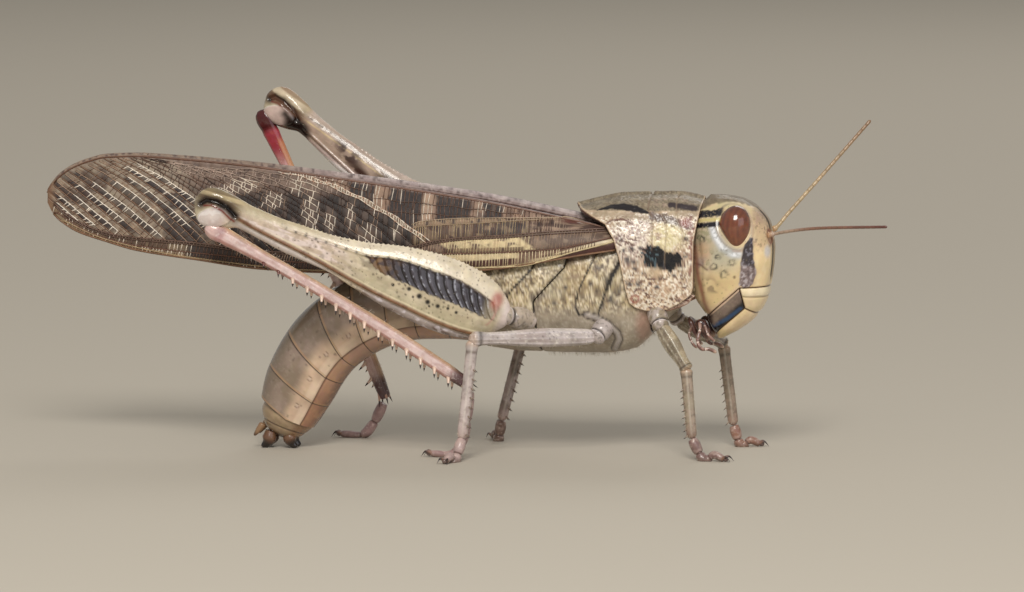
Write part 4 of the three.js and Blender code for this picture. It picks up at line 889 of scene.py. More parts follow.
def make_eye(name, side):
    t, angle = np.meshgrid(np.linspace(0.0, np.pi, 90)[1:-1], np.arange(120) / 120 * 2 * np.pi, indexing="ij")
    local = np.stack([np.sin(t) * np.cos(angle), np.sin(t) * np.sin(angle), -np.cos(t)], -1)
    low = smooth(-local[..., 2], -0.1, 1.0)
    p = local * vec(EYE["long"], EYE["wide"] + 0.1, EYE["tall"] + 0.04)
    p[..., 0] = p[..., 0] * (1 - 0.26 * low) + 0.5 * low
    c, s = math.cos(EYE["lean"]), math.sin(EYE["lean"])
    p = np.stack([c * p[..., 0] + s * p[..., 2], p[..., 1], -s * p[..., 0] + c * p[..., 2]], -1)
    c, s = math.cos(side * EYE["turn"]), math.sin(side * EYE["turn"])
    p = np.stack([c * p[..., 0] - s * p[..., 1], s * p[..., 0] + c * p[..., 1], p[..., 2]], -1)
    points = p + vec(EYE["x"], side * EYE["y"], EYE["z"])
    stripes = 0.5 + 0.5 * np.sin(local[..., 0] * 19 + 0.6 * np.sin(local[..., 2] * 4))
    paint = Paint(t.shape, "74402e", 0.14)
    paint.over(stripes * 0.5, "4c261c")
    paint.over(smooth(noise(local, 0.25, 81, 3), 0.4, 0.7) * 0.4, "8a4c2a")
    paint.over(smooth(-local[..., 2], 0.1, 1.0) * 0.35, "8f5a34")
    paint.over(smooth(local[..., 2], 0.3, 0.95) * 0.35, "4a2418")
    skin = Skin()
    closed(skin, points, paint)
    piece(f"lens_eye_{name}", skin, GLASSY, "eye", f"eye_{name}")


def make_antenna(name, side):
    lines = {
        "right": [(23.3, -1.25, 19.55), (24.6, -1.9, 19.85), (27.2, -3.2, 20.25), (33.85, -6.2, 20.7)],
        "left": [(23.3, 1.25, 20.0), (24.2, 1.7, 21.1), (27.2, 3.2, 24.6), (31.1, 5.1, 29.2)],
    }
    joints = 23

    def radius(t):
        flagellum = 0.15 - 0.02 * t + 0.02 * (side != RIGHT)
        beads = 1 - 0.12 * np.exp(-((np.abs((t * joints) % 1 - 0.5) - 0.5) / 0.09) ** 2) * (t > 0.09)
        scape = 0.22 * np.exp(-(((t - 0.03) / 0.026) ** 2)) + 0.09 * np.exp(-(((t - 0.07) / 0.012) ** 2))
        return (flagellum + scape) * beads * np.sqrt(np.clip(1 - ((t - 0.985) / 0.015).clip(0, 1) ** 2, 0.02, 1))

    root = (ANTENNA_ROOT - vec(0.4, -0.25, 0)) * vec(1, side, 1)
    points, t, _ = tube([root, *[vec(*p) for p in lines[name]]], radius, 20, 420)
    if side == RIGHT:
        paint = Paint(t.shape, "b09a88", 0.36).over(smooth(t, 0.1, 0.45), "84604f").over(smooth(t, 0.5, 1), "67413a")
    else:
        paint = Paint(t.shape, "b39c78", 0.36).over(smooth(t, 0.3, 1), "8d6f52")
    joint = np.exp(-((np.abs((t * joints) % 1 - 0.5) - 0.5) / 0.07) ** 2) * (t > 0.09)
    paint.over(joint * 0.45, "4e3226").over((1 - smooth(t, 0.03, 0.09)) * 0.8, "bb8a5a")
    skin = Skin()
    closed(skin, points, paint)
    piece(f"feeler_antenna_{name}", skin, HORN, "antenna", f"antenna_{name}")


def make_palp(skin, points, thick, joints):
    """A feeler of the mouth: slender joints, dark in the middle and pale where they meet."""
    def radius(t):
        swell = thick * (0.7 + 0.3 * np.abs(np.sin(joints * np.pi * t)) ** 0.7)
        return swell * np.sqrt(np.clip(1 - ((t - 0.96) / 0.04).clip(0, 1) ** 2, 0.02, 1))

    points, t, angle = tube(points, radius, 24, 130)
    paint = Paint(t.shape, "8d6a5f", 0.26)
    paint.over(smooth(noise(points, 0.3, 93), 0.45, 0.6) * 0.6, "472c2a")
    paint.over(smooth(np.cos(angle - 1.2), 0.3, 0.9) * 0.3, "cdb6aa", 0.2)
    paint.over(np.exp(-((np.abs((t * joints) % 1 - 0.5) - 0.5) / 0.07) ** 2), "ddc8ba", 0.3)
    paint.over(np.exp(-((np.abs((t * joints + 0.1) % 1 - 0.5) - 0.5) / 0.03) ** 2) * 0.8, "2f1d1b")
    paint.over(smooth(t, 0.9, 1), "cbb09c")
    closed(skin, points, paint)


def make_mouthparts():
    palp = [(16.9, 1.75, 11.9), (17.0, 2.3, 11.2), (16.85, 2.7, 10.2), (17.2, 2.8, 9.55), (17.9, 2.65, 9.5),
            (18.5, 2.45, 9.2)]
    for name, side in SIDES.items():
        mirror = vec(1, side, 1)
        skin = Skin()
        make_palp(skin, [vec(*p) * mirror for p in palp], 0.17, 4)
        make_palp(skin, [vec(17.35, 1.9, 11.5) * mirror, vec(17.75, 2.3, 10.7) * mirror, vec(18.3, 2.2, 10.15) * mirror],
                  0.14, 2)
        lobe = Limb(vec(16.75, 1.75, 12.0) * mirror, vec(17.75, 1.3, 10.2) * mirror, vec(0, 1, 0.2),
                    profile((0, 0.5), (0.4, 0.55), (1, 0.3)), profile((0, 0.4), (0.5, 0.42), (1, 0.25)),
                    around=28, along=40)
        paint = Paint(lobe.t.shape, "3a2420", 0.22).over(smooth(lobe.t, 0.7, 1), "9a7a68")
        paint.over(smooth(noise(lobe.points, 0.3, 91), 0.5, 0.65) * 0.6, "7a5a50")
        closed(skin, lobe.points, paint)
        piece(f"palp_maxilla_{name}", skin, POLISHED, "mouthpart", f"maxilla_{name}")
    lip = Limb(vec(15.75, 0, 12.1), vec(16.7, 0, 10.1), vec(1, 0, 0.3), profile((0, 0.8), (0.5, 0.95), (1, 0.8)),
               profile((0, 0.25), (0.5, 0.3), (1, 0.22)), fullness=3, around=60, along=60)
    paint = Paint(lip.t.shape, "5b3d36", 0.3).over(np.exp(-((lip.across / 0.08) ** 2)), "2e1b16")
    paint.over(smooth(noise(lip.points, 0.4, 94), 0.5, 0.65) * 0.6, "8d6c60").over(smooth(lip.t, 0.7, 1) * 0.7, "b08c78")
    skin = Skin()
    closed(skin, lip.points, paint, -0.1 * np.exp(-((lip.across / 0.1) ** 2)))
    for side in (-1, 1):
        make_palp(skin, [vec(16.1, 0.8 * side, 11.3), vec(15.95, 1.5 * side, 10.7), vec(16.3, 1.8 * side, 9.9),
                         vec(16.7, 1.7 * side, 9.5)], 0.13, 3)
    piece("lip_labium", skin, POLISHED, "mouthpart", "labium")


make_head()
make_mouthparts()
for side_name, side in SIDES.items():
    make_eye(side_name, side)
    make_antenna(side_name, side)


# ---------------------------------------------------------------- abdomen

SPINE = Curve([(-2.2, 0, 13.95), (-6, 0, 13.6), (-10, 0, 13.0), (-13.3, 0, 11.75),
               (-15.9, 0, 10.0), (-17.35, 0, 8.4), (-18.8, 0, 5.9), (-20.1, 0, 2.8)])
belly_depth = profile((0, 4.4), (0.17, 3.8), (0.35, 3.5), (0.6, 3.4), (0.85, 3.25), (0.95, 2.9), (1, 2.6))
belly_half = profile((0, 3.7), (0.17, 3.5), (0.5, 3.15), (0.8, 3.0), (1, 2.45))


SEGMENTS, PLATE_EDGE, PLATE_SLANT = 8, -0.6, 0.034


def make_abdomen():
    """Eight rings, each over the start of the next. The back plates slant and end above the belly plates."""
    for i in range(SEGMENTS):
        first, last = (i - 0.05) / SEGMENTS, min((i + 1.06) / SEGMENTS, 1.0)
        u, angle = np.meshgrid(np.linspace(0, 1, 64), np.arange(130) / 130 * 2 * np.pi, indexing="ij")
        level = oval(angle, 1, 1, 1, 2.25)[1]
        t = np.clip(first + (last - first) * u - PLATE_SLANT * np.maximum(level, PLATE_EDGE), 0, 1)
        ahead = SPINE.along(t)
        dorsal = np.stack([-ahead[..., 2], ahead[..., 1] * 0, ahead[..., 0]], -1) * -1
        tuck = -0.14 * smooth(0.1 - u, 0, 0.1) - 0.3 * smooth(u, 0.985, 1) - 0.02
        across, up = oval(angle, belly_half(t) + tuck, belly_depth(t) + tuck, belly_depth(t) + tuck, 2.25)
        reach_in = 0.9 * smooth(0.1 - u, 0, 0.1) * (i == 0)
        points = SPINE.at(t) - ahead * reach_in[..., None] + vec(0, 1, 0) * across[..., None] + dorsal * up[..., None]
        flank = smooth(level, PLATE_EDGE - 0.02, PLATE_EDGE + 0.02)
        tone = level + 0.3 * (noise(points, 1.7, 108) - 0.5)
        lip = np.exp(-(((level - PLATE_EDGE - 0.02) / 0.03) ** 2))
        groove = np.exp(-(((level - PLATE_EDGE + 0.03) / 0.02) ** 2))
        wet, soft, fine = noise(points, 1.3, 105, 3), noise(points, 0.6, 106), noise(points, 0.2, 107)
        height = 0.05 * lip - 0.08 * groove + 0.02 * (soft - 0.5) + 0.04 * np.exp(-((across / 0.25) ** 2)) * (up > 0)
        paint = Paint(t.shape, "8f7e70", 0.2)
        paint.over(smooth(wet, 0.4, 0.62) * 0.6, "83725f")
        paint.over(smooth(0.5 - wet, 0, 0.16) * band(level, -0.5, 0.7, 0.2) * 0.5, "a08c80", 0.18)
        # Lighter along the lower flank, brightest just above the belly plates: painted highlight.
        paint.over(band(tone, -0.75, -0.22, 0.34) * (0.5 + 0.5 * soft) * (0.6 + 0.4 * smooth(t, 0.4, 0.7)), "d6b99e", 0.17)
        paint.over(band(level, -0.58, -0.4, 0.06) * smooth(u, 0.2, 0.5) * 0.6, "e6cfb6", 0.15)
        # Darker over the back: painted shade.
        paint.over(smooth(tone, 0.2, 0.85) * 0.55, "6f6151")
        paint.over((1 - flank) * 0.95, "b4907c", 0.2)
        paint.over((1 - flank) * smooth(t, 0.65, 0.95) * 0.7, "96684a", 0.2)
        paint.over((1 - flank) * smooth(-level, 0.8, 0.97) * 0.5, "6f4c35", 0.25)
        paint.over((1 - flank) * smooth(soft, 0.5, 0.65) * 0.4, "b98e68")
        paint.over(smooth(0.12 - u, 0, 0.03) * (i > 0), "3a2a22", 0.3)
        paint.over(band(u, 0.93, 1.0, 0.03) * 0.5, "b08a66", 0.25)
        paint.over(smooth(u, 0.978, 0.985), "33221a")
        paint.over(groove * 0.85, "54382a")
        marks = dots(t * SPINE.length, across + 2 * up, 1.3, 0.35, 0.14, 115) * smooth(fine, 0.4, 0.6)
        paint.over(marks * flank * 0.6, "5f5147")
        paint.over(flank * smooth(fine, 0.62, 0.72) * 0.08, "c9bdb0")
        spiracle = np.hypot((u - 0.42) * 3.2, (level + 0.26) * 3.4)
        paint.over(np.exp(-(((spiracle - 0.2) / 0.05) ** 2)) * 0.6, "4a3833")
        paint.over(np.exp(-((spiracle / 0.1) ** 2)) * 0.7, "cdbfb4", 0.18)
        height -= 0.05 * np.exp(-(((spiracle - 0.18) / 0.07) ** 2))
        skin = Skin()
        closed(skin, points, paint, height)
        piece(f"ring_abdomen_{i + 1}", skin, POLISHED, "abdomen_plate", f"abdomen_{i + 1}")


def make_abdomen_tip():
    skin = Skin()
    stump = Limb(vec(-19.55, 0, 4.1), vec(-20.8, 0, 0.95), vec(-1, 0, 0),
                 profile((0, 2.3), (0.4, 2.3), (0.7, 1.85), (1, 0.95)),
                 profile((0, 2.4), (0.4, 2.42), (0.7, 1.95), (1, 1.05)), around=120, along=90, ends=(0.3, 0.55))
    paint = Paint(stump.t.shape, "9a8468", 0.24).over(smooth(noise(stump.points, 0.5, 121), 0.4, 0.7) * 0.5, "b59c80")
    paint.over(smooth(-stump.level, 0.3, 0.7) * 0.6, "8a6040").over(smooth(stump.t, 0.75, 1), "4a3427")
    joint = np.exp(-(((stump.t - 0.68) / 0.02) ** 2))
    paint.over(joint * 0.8, "3a271c")
    closed(skin, stump.points, paint, -0.06 * joint)
    for side in (-1, 1):
        cercus = Limb(vec(-22.1, side * 1.0, 2.2), vec(-22.9, side * 1.2, 1.1), vec(0, 1, 0),
                      profile((0, 0.34), (0.5, 0.26), (1, 0.1)), profile((0, 0.34), (0.5, 0.26), (1, 0.1)),
                      around=20, along=30, ends=(0.2, 0.1))
        closed(skin, cercus.points, Paint(cercus.t.shape, "8a6a4e", 0.4).over(smooth(cercus.t, 0.6, 1), "4a3427"))
    piece("end_abdomen_tip", skin, POLISHED, "abdomen_plate", "abdomen_tip")
    valves = {"upper": (vec(-21.5, 0.75, 1.5), vec(-22.05, 0.72, 0.0), 0.62),
              "lower": (vec(-19.9, 0.75, 1.5), vec(-19.35, 0.72, 0.0), 0.6)}
    for level, (root, end, radius) in valves.items():
        out = -1 if level == "upper" else 1
        for name, side in SIDES.items():
            mirror = vec(1, side, 1)
            line = [root * mirror, (root * 0.45 + end * 0.55 + vec(-0.1 * out, 0, 0)) * mirror,
                    (end + vec(0.12 * out, 0, 0.02)) * mirror]
            points, t, _ = tube(line, profile((0, radius * 0.75), (0.4, radius), (0.75, radius * 0.62), (0.95, 0.3),
                                              (1, 0.22)), 32, 60, up=(1, 0, 0))
            points[..., 2] = np.maximum(points[..., 2], 0.0)
            paint = Paint(t.shape, "6b4c38", 0.3).over(smooth(t, 0.3, 0.75), "1c1512", 0.18)
            skin = Skin()
            closed(skin, points, paint)
            piece(f"hook_valve_{level}_{name}", skin, POLISHED, "valve", f"valve_{level}_{name}")


make_abdomen()
make_abdomen_tip()


# ---------------------------------------------------------------- wings

WING_BASE, WING_TIP = 9.8, -41.6
FOLD_SHARE = 0.32
wing_top = profile((-41.6, 22.55), (-41.1, 23.3), (-40.5, 24.0), (-39.2, 24.85), (-37.8, 25.4), (-36.4, 25.75),
                   (-33.7, 25.87), (-29.6, 25.68), (-24.2, 25.3), (-17.1, 24.57), (-2.85, 22.77), (5, 21.3), (9, 20.4),
                   (9.8, 20.1))
wing_low = profile((-41.6, 21.5), (-41, 20.45), (-40.1, 19.68), (-38.7, 18.92), (-36.1, 18.15), (-33.3, 17.45),
                   (-27.7, 16.75), (-21.9, 16.05), (-16, 15.85), (-6, 15.9), (0, 16.5), (4, 17.2), (7, 17.75), (9.8, 18.2))
shelf_half = profile((-41.6, 0.4), (-34, 0.55), (-25, 1.1), (-15, 2.0), (-5, 2.8), (4, 3.1), (9, 3.0), (9.8, 2.9))
hem_half = profile((-41.6, 0.5), (-36, 1.5), (-28, 2.9), (-16, 3.8), (-4, 4.2), (4, 4.5), (9, 4.1), (9.8, 3.8))
wing_lap = profile((-41.6, -0.33), (-34, -0.33), (-27, 0.1), (-15, 0.8), (4, 1.0), (9, 0.9))
wing_settle = profile((-41.6, 0), (-34, 0), (-30, 0.64), (9, 0.64))


def fold_z(x):
    return wing_top(x) - 0.1 - 0.12 * shelf_half(x)


def wing_point(x, across, side):
    """A point of a forewing's middle surface: across 0 is the inner edge on the back, 1 the lower edge."""
    x, across = np.broadcast_arrays(x, across)
    t = np.clip(across / FOLD_SHARE, 0, 1)
    inner = -wing_lap(x)
    settle = wing_settle(x) * (1 - smooth(t, 0.5, 1)) if side == RIGHT else 0.4 * (1 - smooth(t, 0, 0.25))
    shelf = (inner + (shelf_half(x) - inner) * t, wing_top(x) - settle + (fold_z(x) - wing_top(x)) * t * t)
    t = np.clip((across - FOLD_SHARE) / (1 - FOLD_SHARE), 0, 1)
    bulge = 0.15 * np.sin(np.pi * t) * (hem_half(x) - 0.4)
    flank = (shelf_half(x) + (hem_half(x) - shelf_half(x)) * t + bulge, fold_z(x) + (wing_low(x) - fold_z(x)) * t)
    on_shelf = across < FOLD_SHARE
    return np.stack([x, side * np.where(on_shelf, shelf[0], flank[0]), np.where(on_shelf, shelf[1], flank[1])], -1)


def across_at(x, z):
    """Where a height on the flank lies across the wing."""
    return FOLD_SHARE + (1 - FOLD_SHARE) * (fold_z(x) - z) / (fold_z(x) - wing_low(x))


# The long veins of the flank, as heights along the wing. The stem runs on to the wing's end.
upper_media = profile((-8.3, 20.15), (-7.6, 20.42), (-3.5, 20.76), (0.84, 20.81), (6.5, 20.85))
lower_media = profile((-8.3, 19.8), (-7.6, 19.99), (-4.9, 20.2), (-2.25, 20.36), (1.9, 20.63), (6.5, 20.75))
stem = profile((-41.4, 21.7), (-39.56, 20.32), (-37.3, 19.2), (-34.6, 18.61), (-28.3, 18.2), (-20, 17.5), (-12, 17.5),
               (-7.55, 18.35), (-6.2, 18.7), (-3.46, 19.05), (0.62, 19.31), (4, 19.6), (9.8, 19.85))
subcosta = profile((-40.6, 20.6), (-38, 19.1), (-34, 18.0), (-28, 17.4), (-16, 16.7), (-5, 17.72), (-1.65, 17.84),
                   (4, 18.2), (7.1, 18.75), (9.8, 19.3))
costa = profile((-40, 19.9), (-36, 18.35), (-28, 16.95), (-16, 16.05), (-3.4, 16.5), (1.4, 16.76), (4, 17.4), (6, 18.02), (9.8, 18.95))

# Slanting branches leave the stem at even steps. How steep they start and how much they bend depends on where.
BRANCH = {"first": -6.85, "step": 0.98, "count": 34, "cell": 0.44, "pale_from": 16}
branch_slope = profile((-41, 0.78), (-33, 0.78), (-30.8, 0.8), (-28.5, 0.93), (-24, 0.94), (-15, 0.84), (-7, 0.71))
branch_bend = profile((-41, 0.004), (-33, 0.006), (-30.8, 0.012), (-28.5, 0.0235), (-24, 0.0235), (-7, 0.02))
# Groups of cells with pale veins: place along the wing, height, and reach both ways.
PALE_PATCHES = [
    (-17.45, 21.1, 0.7, 1.8), (-15.6, 20.3, 0.5, 0.9), (-11.5, 22.0, 0.6, 1.0), (-12.1, 19.2, 0.9, 1.0),
    (-20.8, 22.0, 0.9, 0.7), (-23.8, 23.1, 1.5, 0.55), (-13.8, 20.8, 0.4, 1.3), (-7.0, 22.0, 0.45, 1.2),
    (-26.2, 22.6, 1.2, 0.5), (-14.5, 23.6, 2.5, 0.4), (-9.6, 19.6, 0.5, 0.6), (-19.5, 19.2, 0.4, 0.8),
    (-22.1, 20.4, 0.45, 0.8), (-24.9, 20.9, 0.5, 0.6), (-18.8, 23.3, 0.5, 0.7), (-2.2, 21.9, 0.35, 0.8),
]
WOBBLE = 0.07


def branch_point(first, d):
    """A point of a slanting branch, d mm along the wing from where it leaves the stem."""
    wave = WOBBLE * np.sin(2.3 * d + 1.9 * first) * smooth(d, 0.3, 1.5) * (0.35 + 0.65 * smooth(first, -24, -18))
    return first - d, stem(first) + branch_slope(first) * d - branch_bend(first) * d * d + wave


def branch_through(x, z):
    """Where the branch through a point leaves the stem."""
    low, high = x + 0.0, x + 18.0
    for _ in range(22):
        first = (low + high) / 2
        above = branch_point(first, first - x)[1] > z
        low, high = np.where(above, low, first), np.where(above, first, high)
    return (low + high) / 2


def pale_patch(x, z):
    return sum(np.exp(-(((x - a) / ra) ** 2) - ((z - b) / rb) ** 2) for a, b, ra, rb in PALE_PATCHES)


class Veins:
    """Thin ridges laid on a wing, gathered and built together."""

    def __init__(self):
        self.runs = {}

    def add(self, x, z, width, code, tall=0.05):
        codes = np.array([rgb(c) for c in code]) if isinstance(code, list) else np.tile(rgb(code), (len(x), 1))
        self.runs.setdefault(len(x), []).append((np.asarray(x, float), np.asarray(z, float), width, tall, codes))

    def build(self, skin, side, outward):
        for runs in self.runs.values():
            x, z = np.stack([r[0] for r in runs]), np.stack([r[1] for r in runs])
            width = np.array([r[2] for r in runs])[:, None, None]
            tall = np.array([r[3] for r in runs])[:, None, None]
            across = across_at(x, z)
            n = outward(x, across)
            ahead = unit(np.gradient(wing_point(x, across, side), axis=1))
            wide = unit(np.cross(n, ahead))
            base = wing_point(x, across, side) + n * 0.13
            ring = np.stack([base + wide * width, base + n * (0.06 + tall), base - wide * width, base - n * 0.03], 2)
            m, rows = x.shape
            faces = quads(rows, 4, True)
            last = (rows - 1) * 4
            ends = np.array([[3, 2, 1, 0], [last, last + 1, last + 2, last + 3]])
            centre = np.broadcast_to(ring[0].mean(1, keepdims=True), ring[0].shape)
            turned = facing_out(ring[0], faces, centre)
            if not np.array_equal(turned, faces):
                faces, ends = turned, ends[:, ::-1]
            every = np.concatenate([faces, ends])
            every = (every[None] + (np.arange(m) * rows * 4)[:, None, None]).reshape(-1, 4)
            paint = Paint(ring.shape[:3], "000000", 0.45)
            paint.colour = np.broadcast_to(np.stack([r[4] for r in runs])[:, :, None], ring.shape).copy()
            skin.add(ring, [every], paint)


def make_veins(skin, side, outward):
    veins = Veins()
    vein = veins.add
    step, cell = BRANCH["step"], BRANCH["cell"]

    def chance(i, j, seed):
        return hashed(np.array([[i, j]]), seed)[0]

    CREAM, PALE, TAN, BROWN, DARK = "ece2d4", "e2d6c6", "a08672", "6d5244", "3b2a25"
    xs = np.linspace(8.0, -8.3, 56)
    vein(xs, upper_media(xs), 0.06, "a8947e")
    xs = np.linspace(3.0, -8.3, 40)
    vein(xs, lower_media(xs), 0.055, "9a866f")
    xs = np.linspace(1.5, -12.5, 60)
    for part in (0.3, 0.62):
        vein(xs, upper_media(-8) + (fold_z(xs) - upper_media(-8)) * part + 0.06 * np.sin(2.1 * xs + 9 * part), 0.045, "5d473c")
    xs = np.linspace(9.7, -41.0, 150)
    vein(xs, stem(xs) + 0.09, 0.085, "6b5348", 0.09)
    vein(xs, stem(xs) - 0.1, 0.085, "5c463c", 0.09)
    vein(xs, subcosta(xs), 0.07, "6b4c3e", 0.06)
    vein(xs, costa(xs), 0.085, ["cdbb94" if x > -12 else "a38c6c" for x in xs], 0.08)
    vein(xs, fold_z(xs) - 0.05, 0.065, ["7c5b4c" if x > -22 else "6b4a38" for x in xs], 0.06)
    vein(xs, wing_low(xs) + 0.07, 0.1, "7d5c44", 0.07)

    ladder_top = BRANCH["first"] + 0.42
    for k in range(-1, BRANCH["count"]):
        first = BRANCH["first"] - step * k if k >= 0 else ladder_top
        d = np.linspace(0.12, 17.5, 70)
        x, z = branch_point(first, d)
        ok = (z < fold_z(x) - 0.15) & (x > -41.0)
        if ok.sum() < 4:
            continue
        reach = d[np.argmin(ok) - 1] if not ok.all() else d[-1]
        d = np.linspace(0.12, reach, 60)
        x, z = branch_point(first, d)
        pale = k >= BRANCH["pale_from"] and k % 2 == 0
        share = (0.04 + 0.25 * chance(k, 1, 209), 0.72 + 0.22 * chance(k, 2, 209))
        if k < 1:
            code = [PALE if i % 3 else "b98f78" for i in range(len(x))]
        elif pale:
            code = [CREAM if share[0] < a / reach < share[1] else TAN for a in d]
        elif k >= BRANCH["pale_from"]:
            code = "80614c"
        else:
            near_top = smooth(z - fold_z(x), -1.9, -1.1) * band(x, -30, -9, 1.5)
            near_pale = pale_patch(x, z) + 0.45 * near_top
            plain = BROWN if k > 11 else DARK
            code = [PALE if p > 0.55 else "ab978a" if p > 0.35 else BROWN if p > 0.22 else plain for p in near_pale]
        vein(x, z, 0.062 if k < 1 else 0.052 if pale else 0.042, code, 0.05)
        if k < 0:
            continue
        for j in range(1, int(reach / cell)):
            at = (j + 0.8 * (chance(k, j, 203) - 0.5)) * cell
            upright = 0.55 if k >= BRANCH["pale_from"] else 0.92
            far_d = max(at - step * (upright + 0.2 * (chance(k, j, 201) - 0.5)), 0.02)
            near, far = branch_point(first, at), branch_point(first - step, far_d)
            x0, z0 = (near[0] + far[0]) / 2, (near[1] + far[1]) / 2
            if z0 > fold_z(x0) - 0.2 or x0 < -40.8:
                continue
            patch = pale_patch(x0, z0)
            high = z0 > fold_z(x0) - 1.4 and -30 < x0 < -9
            if k >= BRANCH["pale_from"]:
                hanging = pale and share[0] < at / reach < share[1] and chance(k, j, 208) > 0.2
                code = CREAM if hanging else TAN if chance(k, j, 207) > 0.6 else BROWN
            elif patch > 0.22 + 0.3 * chance(k, j, 205):
                code = PALE
            else:
                code = "b5a295" if high and chance(k, j, 206) > 0.4 else TAN if patch > 0.2 else "4a3931"
            vein([near[0], far[0]], [near[1], far[1]], 0.05 if code in (CREAM, PALE) else 0.035, code, 0.035)

    def ladder(above, below, x_from, x_to, pitch, seed, tone, slant=0.0, width=0.045):
        x, j = x_from, 0
        while x > x_to:
            lean = slant + 0.12 * (chance(j, 1, seed) - 0.5)
            if above(x) > below(x - lean) + 0.05:
                vein([x, x - lean], [above(x), below(x - lean)], width, tone(x, j), 0.035)
            x -= pitch * (0.75 + 0.5 * chance(j, 2, seed))
            j += 1

    fold = lambda x: fold_z(x) - 0.1
    d = np.linspace(0, 14, 40)
    rail_a, rail_b = branch_point(ladder_top, d), branch_point(BRANCH["first"], d)
    top_rail = lambda x: np.interp(-x, -rail_a[0], rail_a[1])
    low_rail = lambda x: np.interp(-x, -rail_b[0], rail_b[1])
    ladder(top_rail, low_rail, -7.4, -19.5, 0.24, 301, lambda x, j: "e6dccb")
    for row in range(3):
        over = lambda x, row=row: fold(x) if row == 0 else upper_media(-8) + (fold(x) - upper_media(-8)) * (0.62, 0.3)[row - 1]
        under = lambda x, row=row: upper_media(x) if row == 2 else upper_media(-8) + (fold(x) - upper_media(-8)) * (0.62, 0.3)[row]
        ladder(over, under, 1.5, -8.2, 0.36, 302 + 10 * row,
               lambda x, j, row=row: PALE if pale_patch(x, 22.6 - 0.7 * row) > 0.28 or row == 0 and chance(j, 5, 302) > 0.75
               else BROWN, 0.08 - 0.08 * row, 0.04)
    ladder(fold, upper_media, 7, 1.5, 0.3, 313, lambda x, j: "a78f7e" if chance(j, 5, 313) > 0.6 else "46322b", width=0.04)
    ladder(upper_media, lambda x: stem(x) + 0.1, 8.4, 1.8, 0.24, 317,
           lambda x, j: "b09c86" if chance(j, 5, 317) > 0.45 else "46322b", width=0.033)
    halfway = lambda x: (fold(x) + top_rail(x)) / 2
    ladder(fold, halfway, -8.2, -17.5, 0.38, 303,
           lambda x, j: PALE if pale_patch(x, 23) > 0.25 or chance(j, 5, 303) > 0.55 else BROWN, 0.1)
    ladder(halfway, top_rail, -8.2, -16.5, 0.38, 323,
           lambda x, j: PALE if pale_patch(x, 22.4) > 0.25 or chance(j, 5, 323) > 0.75 else BROWN, -0.05)
    xs = np.linspace(-12.5, -17.0, 30)
    vein(xs, halfway(xs), 0.04, "6d5244")
    ladder(upper_media, lower_media, 1.6, -8.2, 0.27, 304, lambda x, j: "b5a287", width=0.035)
    ladder(lower_media, lambda x: stem(x) + 0.1, 4, -8.2, 0.23, 305,
           lambda x, j: "b8a27f" if x < 2.2 and chance(j, 5, 305) > 0.4 else BROWN, width=0.035)
    ladder(lambda x: stem(x) + 0.06, lambda x: stem(x) - 0.06, 8, -41, 0.3, 308, lambda x, j: "8f7b6a")
    ladder(lambda x: stem(x) - 0.12, subcosta, 8, -24, 0.27, 316,
           lambda x, j: "d8c7a2" if -5 < x < 2.4 else TAN, 0.12)
    ladder(lambda x: stem(x) - 0.12, subcosta, -24, -41, 0.38, 306,
           lambda x, j: PALE if x < -28 and chance(j, 5, 306) > 0.35 else BROWN, 0.12)
    ladder(subcosta, costa, 8, -40, 0.27, 307,
           lambda x, j: "d8c8a6" if -6 < x < 5 else PALE if x < -28 and chance(j, 5, 307) > 0.45 else BROWN, 0.08)
    ladder(costa, lambda x: wing_low(x) + 0.1, -22, -39.8, 0.36, 309, lambda x, j: PALE if chance(j, 5, 309) > 0.6 else TAN)
    veins.build(skin, side, outward)


